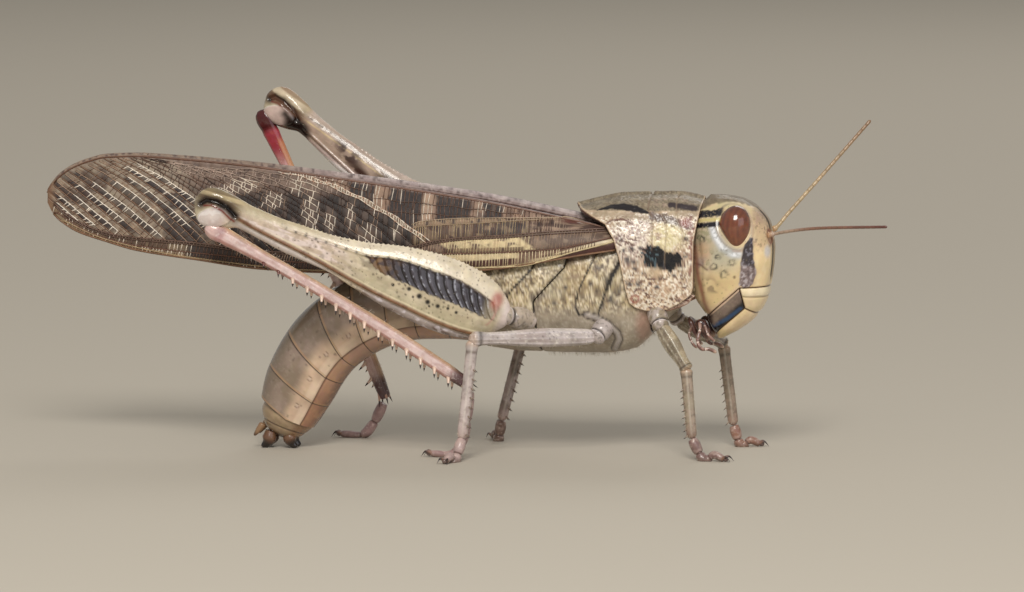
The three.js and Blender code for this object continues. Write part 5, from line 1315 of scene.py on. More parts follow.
def paint_wing(x, v, points):
    """The forewing's colours: pale and striped towards its end, chocolate in the middle, banded at the base, with a
    painted highlight and a painted shadow near the base.
    """
    z, flank = points[..., 2], smooth(v, FOLD_SHARE, FOLD_SHARE + 0.02)
    n1, n2, n3 = noise(points, 1.4, 131, 3), noise(points, 0.5, 132), noise(points * vec(1, 1, 2.5), 0.9, 133)
    first = branch_through(x, z)
    k = (BRANCH["first"] - first) / BRANCH["step"]
    d = np.maximum(first - x, 0)
    strip = np.mod(k, 2)
    upright = np.where(k < BRANCH["pale_from"], 0.9, 0.5) * BRANCH["step"]
    cells = hashed(np.stack([np.floor(k), np.floor((d + upright * (k % 1)) / BRANCH["cell"])], -1).reshape(-1, 2), 137)
    cells = cells.reshape(x.shape)
    patch = pale_patch(x, z)
    field = flank * smooth(k, -0.1, 0.0) * (z > stem(x) + 0.05)
    end = smooth(-x - 0.5 * (z - 20), 26.0, 28.2)

    paint = Paint(x.shape, "776353", 0.55)
    paint.over(smooth(n1, 0.4, 0.65) * 0.5, "8a7664")
    # middle of the wing
    middle = field * (1 - end)
    airy = np.clip(smooth(z + 1.4 * (n1 - 0.5), 22.3, 23.6) * smooth(-x, 11, 14) + 0.7 * patch, 0, 1)
    clouds = noise(points * vec(1.6, 1, 0.7), 1.5, 147, 2)
    dark = middle * (1 - 0.85 * airy) * (0.5 + 0.5 * smooth(clouds, 0.3, 0.4)) * (0.6 + 0.4 * smooth(cells, 0.1, 0.3))
    paint.over(middle * 0.9, "6b564a")
    paint.over(middle * smooth(cells, 0.6, 0.75) * 0.4, "8d7768")
    paint.over(dark * 0.97, "1a1213", 0.6)
    paint.over(middle * (1 - airy) * smooth(cells, 0.82, 0.9) * smooth(n1, 0.45, 0.6) * 0.6, "4c3b36")
    paint.over(middle * airy * (cells < 0.25) * 0.6, "4b3730")
    # between the fold and the first branch
    above = flank * (1 - smooth(k, -0.5, -0.4)) * (z > upper_media(x) - 0.05 * (x < -8)) * (z < fold_z(x))
    above = np.where(x < -8.2, flank * (1 - smooth(k, -0.5, -0.4)), above)
    column = hashed(np.stack([np.floor(x / 0.31), np.floor(z / 0.9 + 0.3 * x)], -1).reshape(-1, 2), 139).reshape(x.shape)
    ragged = 0.5 * (n2 - 0.5)
    blocks = sum(band(x + ragged, a, b, 0.22) for a, b in ((-14.1, -11.9), (-10.3, -7.5), (-6.1, -3.2), (-1.9, -0.4)))
    paint.over(above * 0.9, "806553")
    paint.over(above * smooth(n2, 0.45, 0.6) * 0.5, "9a7f6b")
    paint.over(above * smooth(column, 0.45, 0.6) * band(x, -3.2, 2.6, 0.3) * 0.6, "4a352e")
    paint.over(above * np.clip(blocks, 0, 1) * (0.75 + 0.25 * smooth(column, 0.1, 0.3)), "261b1b", 0.6)
    paint.over(above * blot(x, z, -7.0, 21.8, 0.5, 1.4, 0.3) * 0.6, "a28873")
    paint.over(above * smooth(x, 1, 3) * 0.5, "86685b")
    # narrow bands at the base
    between = flank * (z < upper_media(x)) * (z > lower_media(x)) * (x > -8.3)
    paint.over(between * 0.9, "8a7058")
    paint.over(between * smooth(column, 0.5, 0.6) * 0.9, "3c2b26")
    mid = flank * (z > stem(x) + 0.1) * (z < lower_media(x)) * smooth(x, -8.5, -7.8)
    paint.over(mid, "46322a")
    paint.over(mid * smooth(column, 0.35, 0.55) * (x < 3) * 0.8, "84705a")
    paint.over(mid * band(x, -1.8, 1.6, 0.5) * smooth(n2, 0.4, 0.5) * 0.8, "2f2320")
    root = flank * (z > stem(x) + 0.1) * smooth(x, 1.6, 3)
    streaks = noise(points * vec(0.25, 1, 1.7), 0.5, 153, 2)
    paint.over(root * (z > stem(x) + 0.35) * 0.7, "86705f")
    paint.over(root * smooth(streaks, 0.5, 0.56) * 0.8, "3f2b26")
    paint.over(root * smooth(0.43 - streaks, 0, 0.05) * 0.6, "a98f7c")
    paint.over(root * smooth(x, 7, 8.5) * 0.6, "3a2723")
    for a, b, wide, tall in ((1.05, 20.2, 0.75, 0.26), (3.05, 20.37, 0.2, 0.22), (4.1, 20.56, 0.2, 0.22)):
        paint.over(flank * blot(x, z, a, b, wide, tall, 0.4) * 0.95, "2b1c1b")
    paint.over(flank * blot(x, z, 6.2, 20.66, 1.2, 0.2, 0.6) * 0.9, "5a2f28")
    # A small white spot beside the red-brown blot: painted highlight.
    paint.over(flank * blot(x, z, 6.75, 20.62, 0.42, 0.13, 0.5), "efe4dc", 0.25)
    cream = flank * (z < stem(x) - 0.12) * (z > subcosta(x) + 0.1) * smooth(x, -9, -7)
    paint.over(cream * 0.95, "5d4a3f")
    paint.over(cream * smooth(n2, 0.5, 0.62) * 0.7, "8a7664")
    paint.over(cream * band(x + 1.6 * (z - 18.4), -5.2, 2.4, 0.5) * smooth(n3, 0.26, 0.4) * 0.95, "d6c49c")
    paint.over(cream * band(x, -5.2, 1.6, 0.5) * smooth(subcosta(x) + 0.5 - z, 0, 0.12) * 0.8, "4a2e26")
    paint.over(cream * (column < 0.3) * band(x, -5, 3, 0.5) * 0.45, "8d7358")
    paint.over(flank * np.exp(-(((z - subcosta(x)) / 0.15) ** 2)) * smooth(x, -9, -6) * 0.8, "452b23")
    low = flank * (z < subcosta(x) - 0.1) * smooth(x, -9, -7)
    share = (subcosta(x) - z) / np.maximum(subcosta(x) - wing_low(x), 0.1)
    paint.over(low * 0.9, "6a5143")
    paint.over(low * smooth(n2, 0.48, 0.6) * 0.6, "8f7865")
    paint.over(low * band(x, -5.4, 1.0, 0.5) * band(share, 0.08, 0.4, 0.06) * 0.9, "cfbe99")
    paint.over(low * band(x, -4.6, 0.8, 0.4) * band(share, 0.42, 0.75, 0.06) * 0.95, "482b25")
    paint.over(low * smooth(x, -5, -3) * smooth(share, 0.82, 0.88) * 0.9, "c9b78e")
    paint.over(low * smooth(x, 1.5, 4.5) * smooth(share, 0.55, 0.65) * 0.95, "dccdab", 0.4)
    # Darker below the costa towards the base: painted shadow.
    paint.over(flank * smooth(costa(x) - 0.06 - z, 0, 0.06) * smooth(x, 3.6, 5.2), "472a26", 0.45)
    paint.over(flank * band(z - costa(x), 0.05, 0.3, 0.05) * smooth(x, 3, 5) * 0.8, "dccdab", 0.4)
    paint.over(low * smooth(x, 2.5, 3.5) * np.exp(-(((share - 0.5) / 0.07) ** 2)) * 0.8, "4d3028")
    # stripes towards the end
    strips = field * end
    bold = hashed(np.stack([np.floor(k), np.floor(k) * 0], -1).reshape(-1, 2), 149).reshape(x.shape)
    beside_pale = band(strip, 0.02, 0.86, 0.1) * band(d, 0.3 + 1.5 * bold, 5.0 + 3.5 * n1 + 2 * bold, 1.2)
    paint.over(strips * 0.9, "817365", 0.55)
    paint.over(strips * smooth(cells, 0.4, 0.6) * 0.5, "978877")
    paint.over(strips * smooth(n2, 0.5, 0.62) * 0.45, "a89a86")
    paint.over(strips * beside_pale * (0.6 + 0.4 * smooth(cells, 0.15, 0.35)) * (0.75 + 0.25 * bold), "261c20", 0.55)
    paint.over(strips * np.exp(-(((strip - 1.0) / 0.14) ** 2)) * 0.8, "5a3d2b")
    paint.over(strips * np.exp(-(((strip - 1.5) / 0.1) ** 2)) * smooth(n1, 0.4, 0.55) * 0.7, "6f4c33")
    paint.over(strips * smooth(noise(points, 2.2, 145), 0.54, 0.62) * (z > 21.5) * 0.7, "45352f")
    paint.over(strips * band(-x, 26, 30.2, 0.9) * smooth(n1, 0.3, 0.5) * (z < 22.6) * 0.85, "271d1f")
    lower_part = flank * (z < stem(x)) * smooth(-x, 8, 10)
    paint.over(lower_part * 0.9, "76644f")
    paint.over(lower_part * (1 - smooth(-x, 28.0, 29.2)) * 0.9, "2d2223")
    paint.over(lower_part * smooth(-x, 28.4, 29.4) * (cells < 0.45) * (z > costa(x)) * 0.8, "4b372d")
    paint.over(lower_part * (z < subcosta(x)) * smooth(-x, 28.4, 29.6) * 0.5, "97856c")
    paint.over(lower_part * (z < costa(x)) * 0.5, "6b4c38")
    paint.over(flank * smooth(wing_low(x) + 0.2 - z, 0, 0.15) * 0.8 * (x < 2), "6e4a34")
    # the narrow top
    shelf = 1 - flank
    paint.over(shelf * 0.97, "9f8e8d", 0.45)
    paint.over(shelf * smooth(n2, 0.45, 0.6) * 0.6, "c2b4af")
    paint.over(shelf * smooth(-x, 12, 26) * 0.85, "86725f")
    dashes = dots(x * 0.6, points[..., 1] * 1.4, 0.3, 0.8, 0.09, 141)
    paint.over(shelf * dashes * 0.8, "50403f")
    paint.over(np.exp(-(((v - FOLD_SHARE) / 0.012) ** 2)) * 0.8, "6f5041")
    paint.over(smooth(0.04 - v, 0, 0.02) * 0.6, "6f5850")
    paint.over(smooth(-x, 40.6, 41.4) * 0.7, "79583f")
    relief = 0.03 * (n2 - 0.5) - 0.04 * (1 - smooth(np.minimum(k % 1, 1 - k % 1), 0.0, 0.3)) * field
    return paint, relief


def make_wing(name, side):
    def outward(x, v):
        e = 1e-3
        a = wing_point(x + e, v, side) - wing_point(x - e, v, side)
        b = wing_point(x, np.minimum(v + e, 1), side) - wing_point(x, np.maximum(v - e, 0), side)
        return unit(np.cross(a, b)) * side

    u = np.linspace(0, 1, 400)
    x = WING_BASE + (WING_TIP - WING_BASE) * (0.35 * (1 - (1 - u) ** 1.5) + 0.65 * u)
    v = np.concatenate([np.linspace(0, FOLD_SHARE - 0.02, 10), np.linspace(FOLD_SHARE - 0.01, 1, 80)])
    x, v = np.meshgrid(x, v, indexing="ij")
    points = wing_point(x, v, side) + outward(x, v) * 0.13
    paint, relief = paint_wing(x, v, points)
    skin = Skin()
    shell(skin, points, np.ones(x.shape), paint, 0.24, relief, wrap=False)
    make_veins(skin, side, outward)
    piece(f"tegmen_forewing_{name}", skin, PARCHMENT, "forewing", f"forewing_{name}")


def make_hindwing(name, side):
    u, v = np.meshgrid(np.linspace(0, 1, 130), np.linspace(0, 1, 55), indexing="ij")
    x = -2.3 - 26.7 * u
    points = wing_point(x, 0.5 + 0.4 * v, side) - vec(0, side, 0)
    pleat = np.abs(((v * 9) % 1) - 0.5) * 2
    paint = Paint(u.shape, "b7aa90", 0.3).over(smooth(pleat, 0.75, 1.0), "6b5442").over(
        smooth(noise(points, 0.5, 151), 0.5, 0.7) * 0.5, "cbbfa4")
    cross = np.exp(-((np.abs((u * 44 + np.floor(v * 9) * 0.37) % 1 - 0.5) / 0.09) ** 2))
    paint.over(cross * 0.7, "7d6650")
    skin = Skin()
    shell(skin, points, np.ones(u.shape), paint, 0.12, 0.18 * pleat, wrap=False)
    piece(f"fan_hindwing_{name}", skin, PARCHMENT, "hindwing", f"hindwing_{name}")


for side_name, side in SIDES.items():
    make_wing(side_name, side)
    make_hindwing(side_name, side)


# ---------------------------------------------------------------- feet

def claws(skin, toe, along, reach=0.8):
    """Two hooks and the pad between them, at the end of a foot."""
    across = vec(-along[1], along[0], 0)
    for hand in (-1, 1):
        root = toe - along * 0.12 + across * 0.12 * hand
        bend = toe + along * 0.5 * reach + across * 0.36 * hand + vec(0, 0, 0.22)
        end = toe + along * reach + across * 0.46 * hand
        end[2] = 0.06
        points, t, _ = tube([root, (root + bend) / 2 + vec(0, 0, 0.05), bend, end],
                            lambda t: 0.15 * (1 - 0.93 * smooth(t, 0, 1.05)), 10, 18)
        paint = Paint(t.shape, "8c6a5c", 0.3).over(smooth(t, 0.2, 0.6), "2a1f20")
        closed(skin, points, paint)
    points, t, _ = tube([toe - along * 0.1, toe + along * 0.15, toe + along * 0.42 + vec(0, 0, 0.03)],
                        lambda t: 0.1 + 0.12 * np.sin(np.pi * np.clip(t * 0.9, 0, 1)), 14, 14)
    closed(skin, points, Paint(t.shape, "6d5a55", 0.4))


def make_foot(name, path, tone, rim, roots=None):
    """A foot of three joints with soft pads beneath. It stands on the floor where its line meets it."""
    path = [np.asarray(p, float) for p in path]
    joint = lambda t: (t * 3) % 1
    swell = lambda t: (0.31 + 0.14 * np.sin(np.pi * joint(t)) ** 0.6 + 0.05 * (1 - t)) * (1 - 0.22 * smooth(t, 0.62, 0.72))
    points, t, angle = tube(path, swell, 40, 120)
    points[..., 2] = np.maximum(points[..., 2], 0.012)
    at_joint = np.exp(-((np.minimum(joint(t), 1 - joint(t)) / 0.045) ** 2)) * (t > 0.1) * (t < 0.92)
    n1, n2 = noise(points, 0.4, 401), noise(points, 0.16, 402)
    paint = Paint(t.shape, tone, 0.4)
    paint.over(smooth(n1, 0.4, 0.65) * 0.45, rim)
    paint.over(smooth(points[..., 2], 0.5, 0.12) * 0.6, "6d594e")
    paint.over(at_joint * 0.85, "5b4038")
    paint.over(smooth(n2, 0.62, 0.75) * 0.35, "d9c8bc")
    skin = Skin()
    closed(skin, points, paint, 0.03 * (n2 - 0.5) - 0.05 * at_joint)
    toe, before = path[-1], path[-2]
    claws(skin, toe, unit((toe - before) * vec(1, 1, 0)))
    piece(f"foot_{name}", skin, LEGS, "foot", f"{name}_tarsus")


# ---------------------------------------------------------------- walking legs

WALKING = {
    "fore_right": {
        "hip": vec(13.1, -2.7, 13.0), "elbow": vec(13.75, -3.85, 11.6), "knee": vec(16.15, -5.0, 8.1),
        "ankle": vec(16.75, -5.5, 1.9), "sole": vec(17.9, -5.7, 0.1), "toe": vec(19.6, -6.1, 0.25), "thick": 0.78,
        "tone": "968976", "foot": "7d625e",
    },
    "fore_left": {
        "hip": vec(13.3, 2.7, 13.0), "elbow": vec(14.2, 3.85, 11.5), "knee": vec(18.0, 6.0, 9.2),
        "ankle": vec(18.85, 6.5, 1.9), "sole": vec(19.55, 6.6, 0.1), "toe": vec(21.1, 7.0, 0.25), "thick": 0.78,
        "tone": "8a7c6a", "foot": "8e6858",
    },
    "mid_right": {
        "hip": vec(8.9, -3.5, 11.6), "elbow": vec(8.2, -4.6, 10.65), "knee": vec(-2.1, -8.5, 10.66),
        "ankle": vec(-3.0, -9.0, 1.9), "sole": vec(-3.5, -10.0, 0.1), "toe": vec(-4.0, -11.6, 0.25), "thick": 0.82,
        "tone": "b3a8a4", "foot": "aa9390",
    },
    # The far middle leg's tone and foot colours are darker than the near leg's: painted shade.
    "mid_left": {
        "hip": vec(8.9, 3.5, 11.6), "elbow": vec(8.2, 4.6, 10.65), "knee": vec(0.0, 8.2, 10.6),
        "ankle": vec(-2.1, 7.2, 1.9), "sole": vec(-2.5, 8.0, 0.1), "toe": vec(-3.2, 9.6, 0.25), "thick": 0.82,
        "tone": "6f6258", "foot": "6b5348",
    },
}


def toward(start, end, by):
    return start + unit(end - start) * by


def make_hip(name, start, end, half, tone, slot_name, node):
    """The short swollen joint between the body and a thigh, in two rings."""
    limb = Limb(start, toward(end, start, -half * 0.6), vec(0.2, 0.1, 1),
                profile((0, half * 1.05), (0.45, half * 1.1), (0.62, half * 0.94), (0.68, half * 0.84),
                        (0.75, half * 0.97), (1, half * 0.72)),
                profile((0, half * 1.05), (0.45, half * 1.1), (0.62, half * 0.94), (0.68, half * 0.84),
                        (0.75, half * 0.97), (1, half * 0.72)), around=56, along=70, ends=(0.25, 0.45))
    n1, n2 = noise(limb.points, 0.6, 411), noise(limb.points, 0.2, 412)
    neck = np.exp(-(((limb.t - 0.67) / 0.035) ** 2))
    paint = Paint(limb.t.shape, tone, 0.3)
    paint.over(smooth(n1, 0.4, 0.65) * 0.6, "c9bdbb", 0.25)
    paint.over(smooth(n2, 0.58, 0.72) * 0.5, "4b4540")
    paint.over(neck * 0.9, "2d2623")
    paint.over(np.exp(-(((limb.t - 0.74) / 0.03) ** 2)) * 0.8, "dbd3d6", 0.2)
    skin = Skin()
    closed(skin, limb.points, paint, 0.06 * (n1 - 0.5) - 0.05 * neck)
    piece(f"hip_{name}", skin, LEGS, slot_name, node)


def make_walking_leg(name, leg):
    elbow, knee, ankle, thick, tone = leg["elbow"], leg["knee"], leg["ankle"], leg["thick"], leg["tone"]
    front = 1 if name.startswith("fore") else 0
    make_hip(name, leg["hip"], elbow, thick, tone, "walking_leg", f"{name}_coxa")

    femur = Limb(elbow, toward(knee, elbow, -0.35), vec(0, 0, 1),
                 profile((0, 0.4), (0.08, 0.56), (0.4, 0.62), (0.85, 0.5), (0.95, 0.56), (1, 0.4)),
                 profile((0, 0.45), (0.08, 0.85 * thick), (0.4, thick), (0.85, 0.68 * thick),
                         (0.95, 0.8 * thick), (1, 0.45)), around=60, along=120, fullness=2.3)
    t, level, angle = femur.t, femur.level, femur.angle
    n1, n2, n3 = noise(femur.points, 0.9, 421), noise(femur.points, 0.3, 422), noise(femur.points, 0.14, 423)
    ridges = sum(np.exp(-(((level - at) / 0.09) ** 2)) for at in (0.62, -0.05, -0.62))
    lobe = smooth(t, 0.9, 0.93) * (1 - smooth(level, 0.2, 0.5))
    paint = Paint(t.shape, tone, 0.32)
    paint.over(smooth(n1, 0.35, 0.6) * 0.5, "7d7060" if front else "c9bdbb")
    paint.over(smooth(n2, 0.52, 0.68) * 0.6, "6a5c4e" if front else "968a84")
    paint.over(smooth(level, 0.5, 0.9) * 0.5, "c2b293" if front else "e0d8d2", 0.25)
    paint.over(band(t, 0.42, 0.6, 0.06) * (level > -0.4) * 0.45, "5e5546" if front else "94817c")
    paint.over(ridges * 0.35, "d9d3bd" if front else "e6dfe4", 0.22)
    paint.over(dots(femur.mm, angle * 0.6, 0.34, 0.5, 0.045, 425) * (0.3 if front else 0.6), "3d342e")
    paint.over(smooth(n3, 0.66, 0.78) * 0.5, "ece7da")
    paint.over(np.exp(-(((t - 0.915) / 0.018) ** 2)) * 0.7, "3a302a")
    paint.over(smooth(t, 0.93, 0.97) * 0.45, "b9967a")
    skin = Skin()
    closed(skin, femur.points, paint, 0.045 * ridges + 0.03 * (n2 - 0.5) + 0.04 * lobe)
    hairs(skin, femur, 110, 0.28, 0.014, "d8d0bb", 427, 0.1, 0.96)
    piece(f"thigh_{name}", skin, LEGS, "walking_leg", f"{name}_femur")

    shin = Limb(knee, ankle, vec(1, 0, 0), profile((0, 0.3), (0.06, 0.44), (0.15, 0.38), (1, 0.36)),
                profile((0, 0.35), (0.06, 0.56), (0.15, 0.5), (1, 0.46)), around=44, along=120, fullness=2.3)
    t, level = shin.t, shin.level
    n1, n2 = noise(shin.points, 0.8, 431), noise(shin.points, 0.25, 432)
    paint = Paint(t.shape, tone, 0.34)
    paint.over(smooth(n1, 0.35, 0.6) * 0.5, "a58f80" if front else "cdbcb9")
    paint.over(smooth(n2, 0.5, 0.68) * 0.55, "6a5e50" if front else "8c7a74")
    paint.over(smooth(t, 0.1, 0.02) * 0.7, "c9aa8e")
    paint.over(np.exp(-(((t - 0.13) / 0.02) ** 2)) * 0.6, "463b33")
    paint.over(np.exp(-(((level - 0.1) / 0.14) ** 2)) * 0.35, "e4dfd2", 0.22)
    paint.over(smooth(t, 0.75, 1) * 0.55, "8a6a60" if front else "b0968e")
    skin = Skin()
    closed(skin, shin.points, paint, 0.03 * (n2 - 0.5) + 0.02 * np.exp(-(((level - 0.1) / 0.12) ** 2)))
    rows = np.linspace(0.3, 0.95, 8)
    inner = -shin.lift if front else shin.lift
    for hand in (-1, 1):
        roots = shin.start + np.outer(rows * shin.length, shin.ahead) + shin.side * 0.22 * hand + inner * 0.34
        ways = np.tile(inner * 0.75 + shin.side * 0.45 * hand + shin.ahead * 0.55, (len(rows), 1))
        spikes(skin, roots, ways, 0.5, 0.075, "8a7768", "221a18")
    hairs(skin, shin, 130, 0.3, 0.013, "d8d0bb", 437, 0.1, 0.97)
    piece(f"shin_{name}", skin, LEGS, "walking_leg", f"{name}_tibia")

    bridge = (leg["sole"] + leg["toe"]) / 2 + vec(0, 0, 0.4)
    make_foot(name, [toward(ankle, leg["sole"], 0.03), leg["sole"], bridge, leg["toe"]], leg["foot"], "b59e94")


def hairs(skin, limb, count, length, radius, code, seed, t_from, t_to):
    """Fine hairs standing off a limb, leaning towards its end."""
    rng = np.random.default_rng(seed)
    rows, cols = limb.t.shape
    row = np.clip(np.searchsorted(limb.t[:, 0], rng.uniform(t_from, t_to, count)), 1, rows - 2)
    col = rng.integers(0, cols, count)
    root = limb.points[row, col]
    middle = limb.points[row].mean(1)
    out = unit(root - middle)
    ways = out + limb.ahead * rng.uniform(0.3, 0.9, count)[:, None]
    spikes(skin, root - out * 0.03, ways, length * rng.uniform(0.6, 1.2, count), radius, code, sides=3)


# ---------------------------------------------------------------- jumping legs

JUMPING = {
    "right": {
        "hip": vec(2.3, -3.2, 11.9), "base": vec(0.15, -5.5, 12.5), "knee": vec(-25.45, -9.8, 21.45),
        "shin": vec(-25.5, -9.8, 20.35), "ankle": vec(-2.6, -6.6, 6.3), "heel": vec(-3.4, -6.4, 1.5),
        "sole": vec(-4.4, -6.3, 0.3), "toe": vec(-6.2, -6.1, 0.32),
    },
    "left": {
        "hip": vec(2.3, 3.2, 11.9), "base": vec(0.0, 5.6, 14.2), "knee": vec(-22.65, 7.4, 29.4),
        "shin": vec(-23.9, 7.4, 29.4), "ankle": vec(-12.75, 8.4, 3.6), "heel": vec(-14.0, 8.6, 1.2),
        "sole": vec(-14.9, 8.7, 0.3), "toe": vec(-16.9, 8.9, 0.32),
    },
}
THIGH = {"before": 0.75, "past": 1.25}
SPINES = {"count": 14, "first": 0.23, "last": 0.93, "length": 1.05, "radius": 0.17}
thigh_rise = profile(
    (0, 0.35), (0.03, 1.4), (0.07, 2.3), (0.14, 2.95), (0.23, 3.2), (0.35, 2.9), (0.5, 1.97),
    (0.62, 1.66), (0.72, 1.68), (0.83, 1.9), (0.9, 2.27), (0.945, 2.4), (0.975, 2.15), (1, 1.3),
)
thigh_drop = profile(
    (0, 0.6), (0.05, 2.0), (0.1, 2.97), (0.2, 3.3), (0.33, 2.93), (0.46, 2.12), (0.57, 1.38),
    (0.7, 1.05), (0.79, 0.62), (0.855, 0.36), (0.89, 0.72), (0.935, 1.02), (0.97, 0.9), (1, -0.1),
)
thigh_half = profile((0, 0.5), (0.05, 1.0), (0.18, 1.25), (0.4, 0.9), (0.7, 0.5), (0.85, 0.65), (0.93, 0.85), (1, 0.4))

# Lines on the thigh's outer face: mm from its root end, and mm above its axis.
band_top = profile((0, 0.4), (1.9, 0.73), (3.5, 1.2), (5.4, 1.6), (7, 1.7), (10, 1.72), (11.6, 1.56), (14, 1.05), (30, 0.9))
band_foot = profile((0, -0.7), (1.9, -0.68), (3.5, -0.56), (5.1, -0.38), (7.8, -0.28), (9.5, -0.11), (11, 0.0), (12.4, 0.2),
                    (14, 1.0), (30, 0.9))
keel_line = profile((0, -1.9), (1.5, -2.2), (3.1, -2.4), (4.4, -2.46), (6.6, -2.36), (8.8, -2.1), (12.1, -1.72), (13.5, -1.5),
                    (18.5, -0.58), (22.7, 0.02), (25.5, 0.5), (26.3, 0.7), (30, 0.8))
CRESCENT = [(28.95, 0.72), (28.6, 1.15), (27.7, 1.32), (26.6, 1.1), (25.75, 0.62)]
BRIM = [(29.3, 0.95), (28.95, 1.5), (28.1, 1.85), (26.9, 1.85), (25.6, 1.35)]
BIG_DOTS = [(10.8, -0.57, 0.14), (9.35, -0.44, 0.18), (8.3, -0.75, 0.23), (7.45, -1.0, 0.21), (6.5, -1.05, 0.18),
            (5.6, -0.95, 0.13), (8.8, -1.0, 0.1), (7.2, -1.3, 0.1), (4.8, -1.05, 0.13)]
RIB_PITCH, RIB_LEAN, RIB_CURVE = 0.8, 0.75, 0.32


def make_thigh(name, leg):
    base, knee = leg["base"], leg["knee"]
    limb = Limb(toward(base, knee, -THIGH["before"]), toward(knee, base, -THIGH["past"]), vec(0, 0, 1), thigh_half,
                thigh_rise, thigh_drop, fullness=1.8, around=216, along=380, ends=(0.5, 0.35))
    mm, up, t = limb.mm, limb.up, limb.t
    outward = -limb.across if name == "right" else limb.across
    outer = smooth(outward, -0.02, 0.05)
    inner = 1 - outer
    p = limb.points
    n1, n2, n3 = noise(p, 1.3, 501, 3), noise(p, 0.45, 502), noise(p, 0.17, 503)
    long = noise(np.stack([mm * 0.35, up * 1.6, outward], -1), 0.5, 504)
    top_edge, foot_edge, keel = band_top(mm), band_foot(mm), keel_line(mm)
    soft = 0.07 + 0.1 * (n3 - 0.5)
    herring = smooth(top_edge - up, -0.05, 0.06) * smooth(up - foot_edge + 0.25 * (n3 - 0.5), -0.08, 0.1)
    herring *= smooth(mm, 1.1, 1.9) * smooth(14.4 - mm, 0, 0.8)
    bend = up - (top_edge + foot_edge) / 2
    phase = ((mm - RIB_LEAN * bend + RIB_CURVE * bend * bend) / RIB_PITCH) % 1
    rib = smooth(phase, 0, 0.7) * (1 - smooth(phase, 0.84, 1))
    valley = np.exp(-((np.minimum(phase, 1 - phase) / 0.1) ** 2))
    glint = np.exp(-(((phase - 0.74) / 0.09) ** 2))
    disc = ((mm - 27.35) / 1.42) ** 2 + ((up - 0.0 - 0.32 * (27.35 - mm)) / 0.88) ** 2
    disc_in = smooth(1.06 - disc, 0, 0.12)
    crescent = stroke(mm, up, CRESCENT, 0.23)
    brim = stroke(mm, up, BRIM, 0.42)

    height = 0.0 * mm
    height += outer * (0.1 * np.exp(-(((up - top_edge) / 0.1) ** 2)) * smooth(mm, 2, 3.5) * smooth(24 - mm, 0, 6))
    height += 0.12 * np.exp(-(((up - keel) / 0.14) ** 2)) * smooth(25.5 - mm, 0, 2) * smooth(mm, 1, 2.5)
    height -= 0.09 * np.exp(-(((up - keel + 0.3) / 0.12) ** 2)) * smooth(25.5 - mm, 0, 2) * smooth(mm, 1, 2.5)
    height += outer * herring * (0.15 * rib - 0.06)
    height += 0.14 * disc_in - 0.3 * crescent + 0.1 * brim
    comb = np.exp(-(((limb.angle - np.pi / 2) / 0.16) ** 2)) * smooth(mm, 1.5, 3) * smooth(22 - mm, 0, 3)
    height += comb * (0.06 + 0.08 * smooth(np.sin(mm * 2 * np.pi / 0.42), 0.1, 0.9))
    height += 0.03 * (n2 - 0.5) + 0.012 * (n3 - 0.5)

    paint = Paint(t.shape, "c6b89c", 0.34)
    paint.over(smooth(n1, 0.35, 0.65) * 0.45, "b5a88c")
    paint.over(smooth(long, 0.5, 0.7) * 0.4, "dccfb8")
    paint.over(smooth(n2, 0.55, 0.68) * 0.3, "b3a98c")
    upper = smooth(up - top_edge, -0.02, 0.2) * smooth(20 - mm, 0, 5)
    paint.over(upper * 0.95, "d8ccb7", 0.3)
    paint.over(upper * smooth(n2, 0.5, 0.66) * 0.35, "d6c8a8")
    paint.over(smooth(up, 1.0, 2.2) * smooth(mm, 16, 23) * 0.75, "a8997a")
    distal = smooth(mm, 13.5, 18) * smooth(26.5 - mm, 0, 1.5)
    sheen = distal * smooth(up - keel, 0.05, 0.3) * smooth(1.35 - up, 0, 0.6)
    paint.over(sheen * 0.6, "c9b3a6", 0.2)
    paint.over(sheen * smooth(long, 0.45, 0.6) * 0.7, "e6d6d2", 0.16)
    paint.over(sheen * smooth(n2, 0.56, 0.66) * 0.4, "a5917f")
    paint.over(distal * smooth(keel - up, 0.15, 0.3) * 0.85, "bfb5b2", 0.2)
    paint.over(outer * dots(mm, up, 0.5, 0.42, 0.055, 511) * smooth(mm, 2, 4) * smooth(24 - mm, 0, 4) * 0.8, "5b4a3c")
    paint.over(outer * dots(mm, up, 0.31, 0.4, 0.035, 512) * upper * 0.7, "6b5848")
    low_face = outer * (up < foot_edge) * (up > keel)
    paint.over(low_face * dots(mm, up, 0.42, 0.4, 0.075, 513) * band(mm, 4, 16, 1.5) * 0.7, "4a4136")
    paint.over(low_face * smooth(keel + 1.6 - up, 0.3, 1.2) * band(mm, 3, 12, 2) * 0.35, "b5b08f")
    paint.over(outer * blot(mm, up, 13.6, 0.5, 1.0, 0.5, 0.8) * smooth(n2, 0.4, 0.55) * 0.6, "6f6152")
    paint.over(outer * dots(mm, up, 0.9, 0.6, 0.16, 514) * band(mm, 12, 20, 2) * band(up, -0.4, 0.9, 0.3) * 0.5, "8a7c6c")
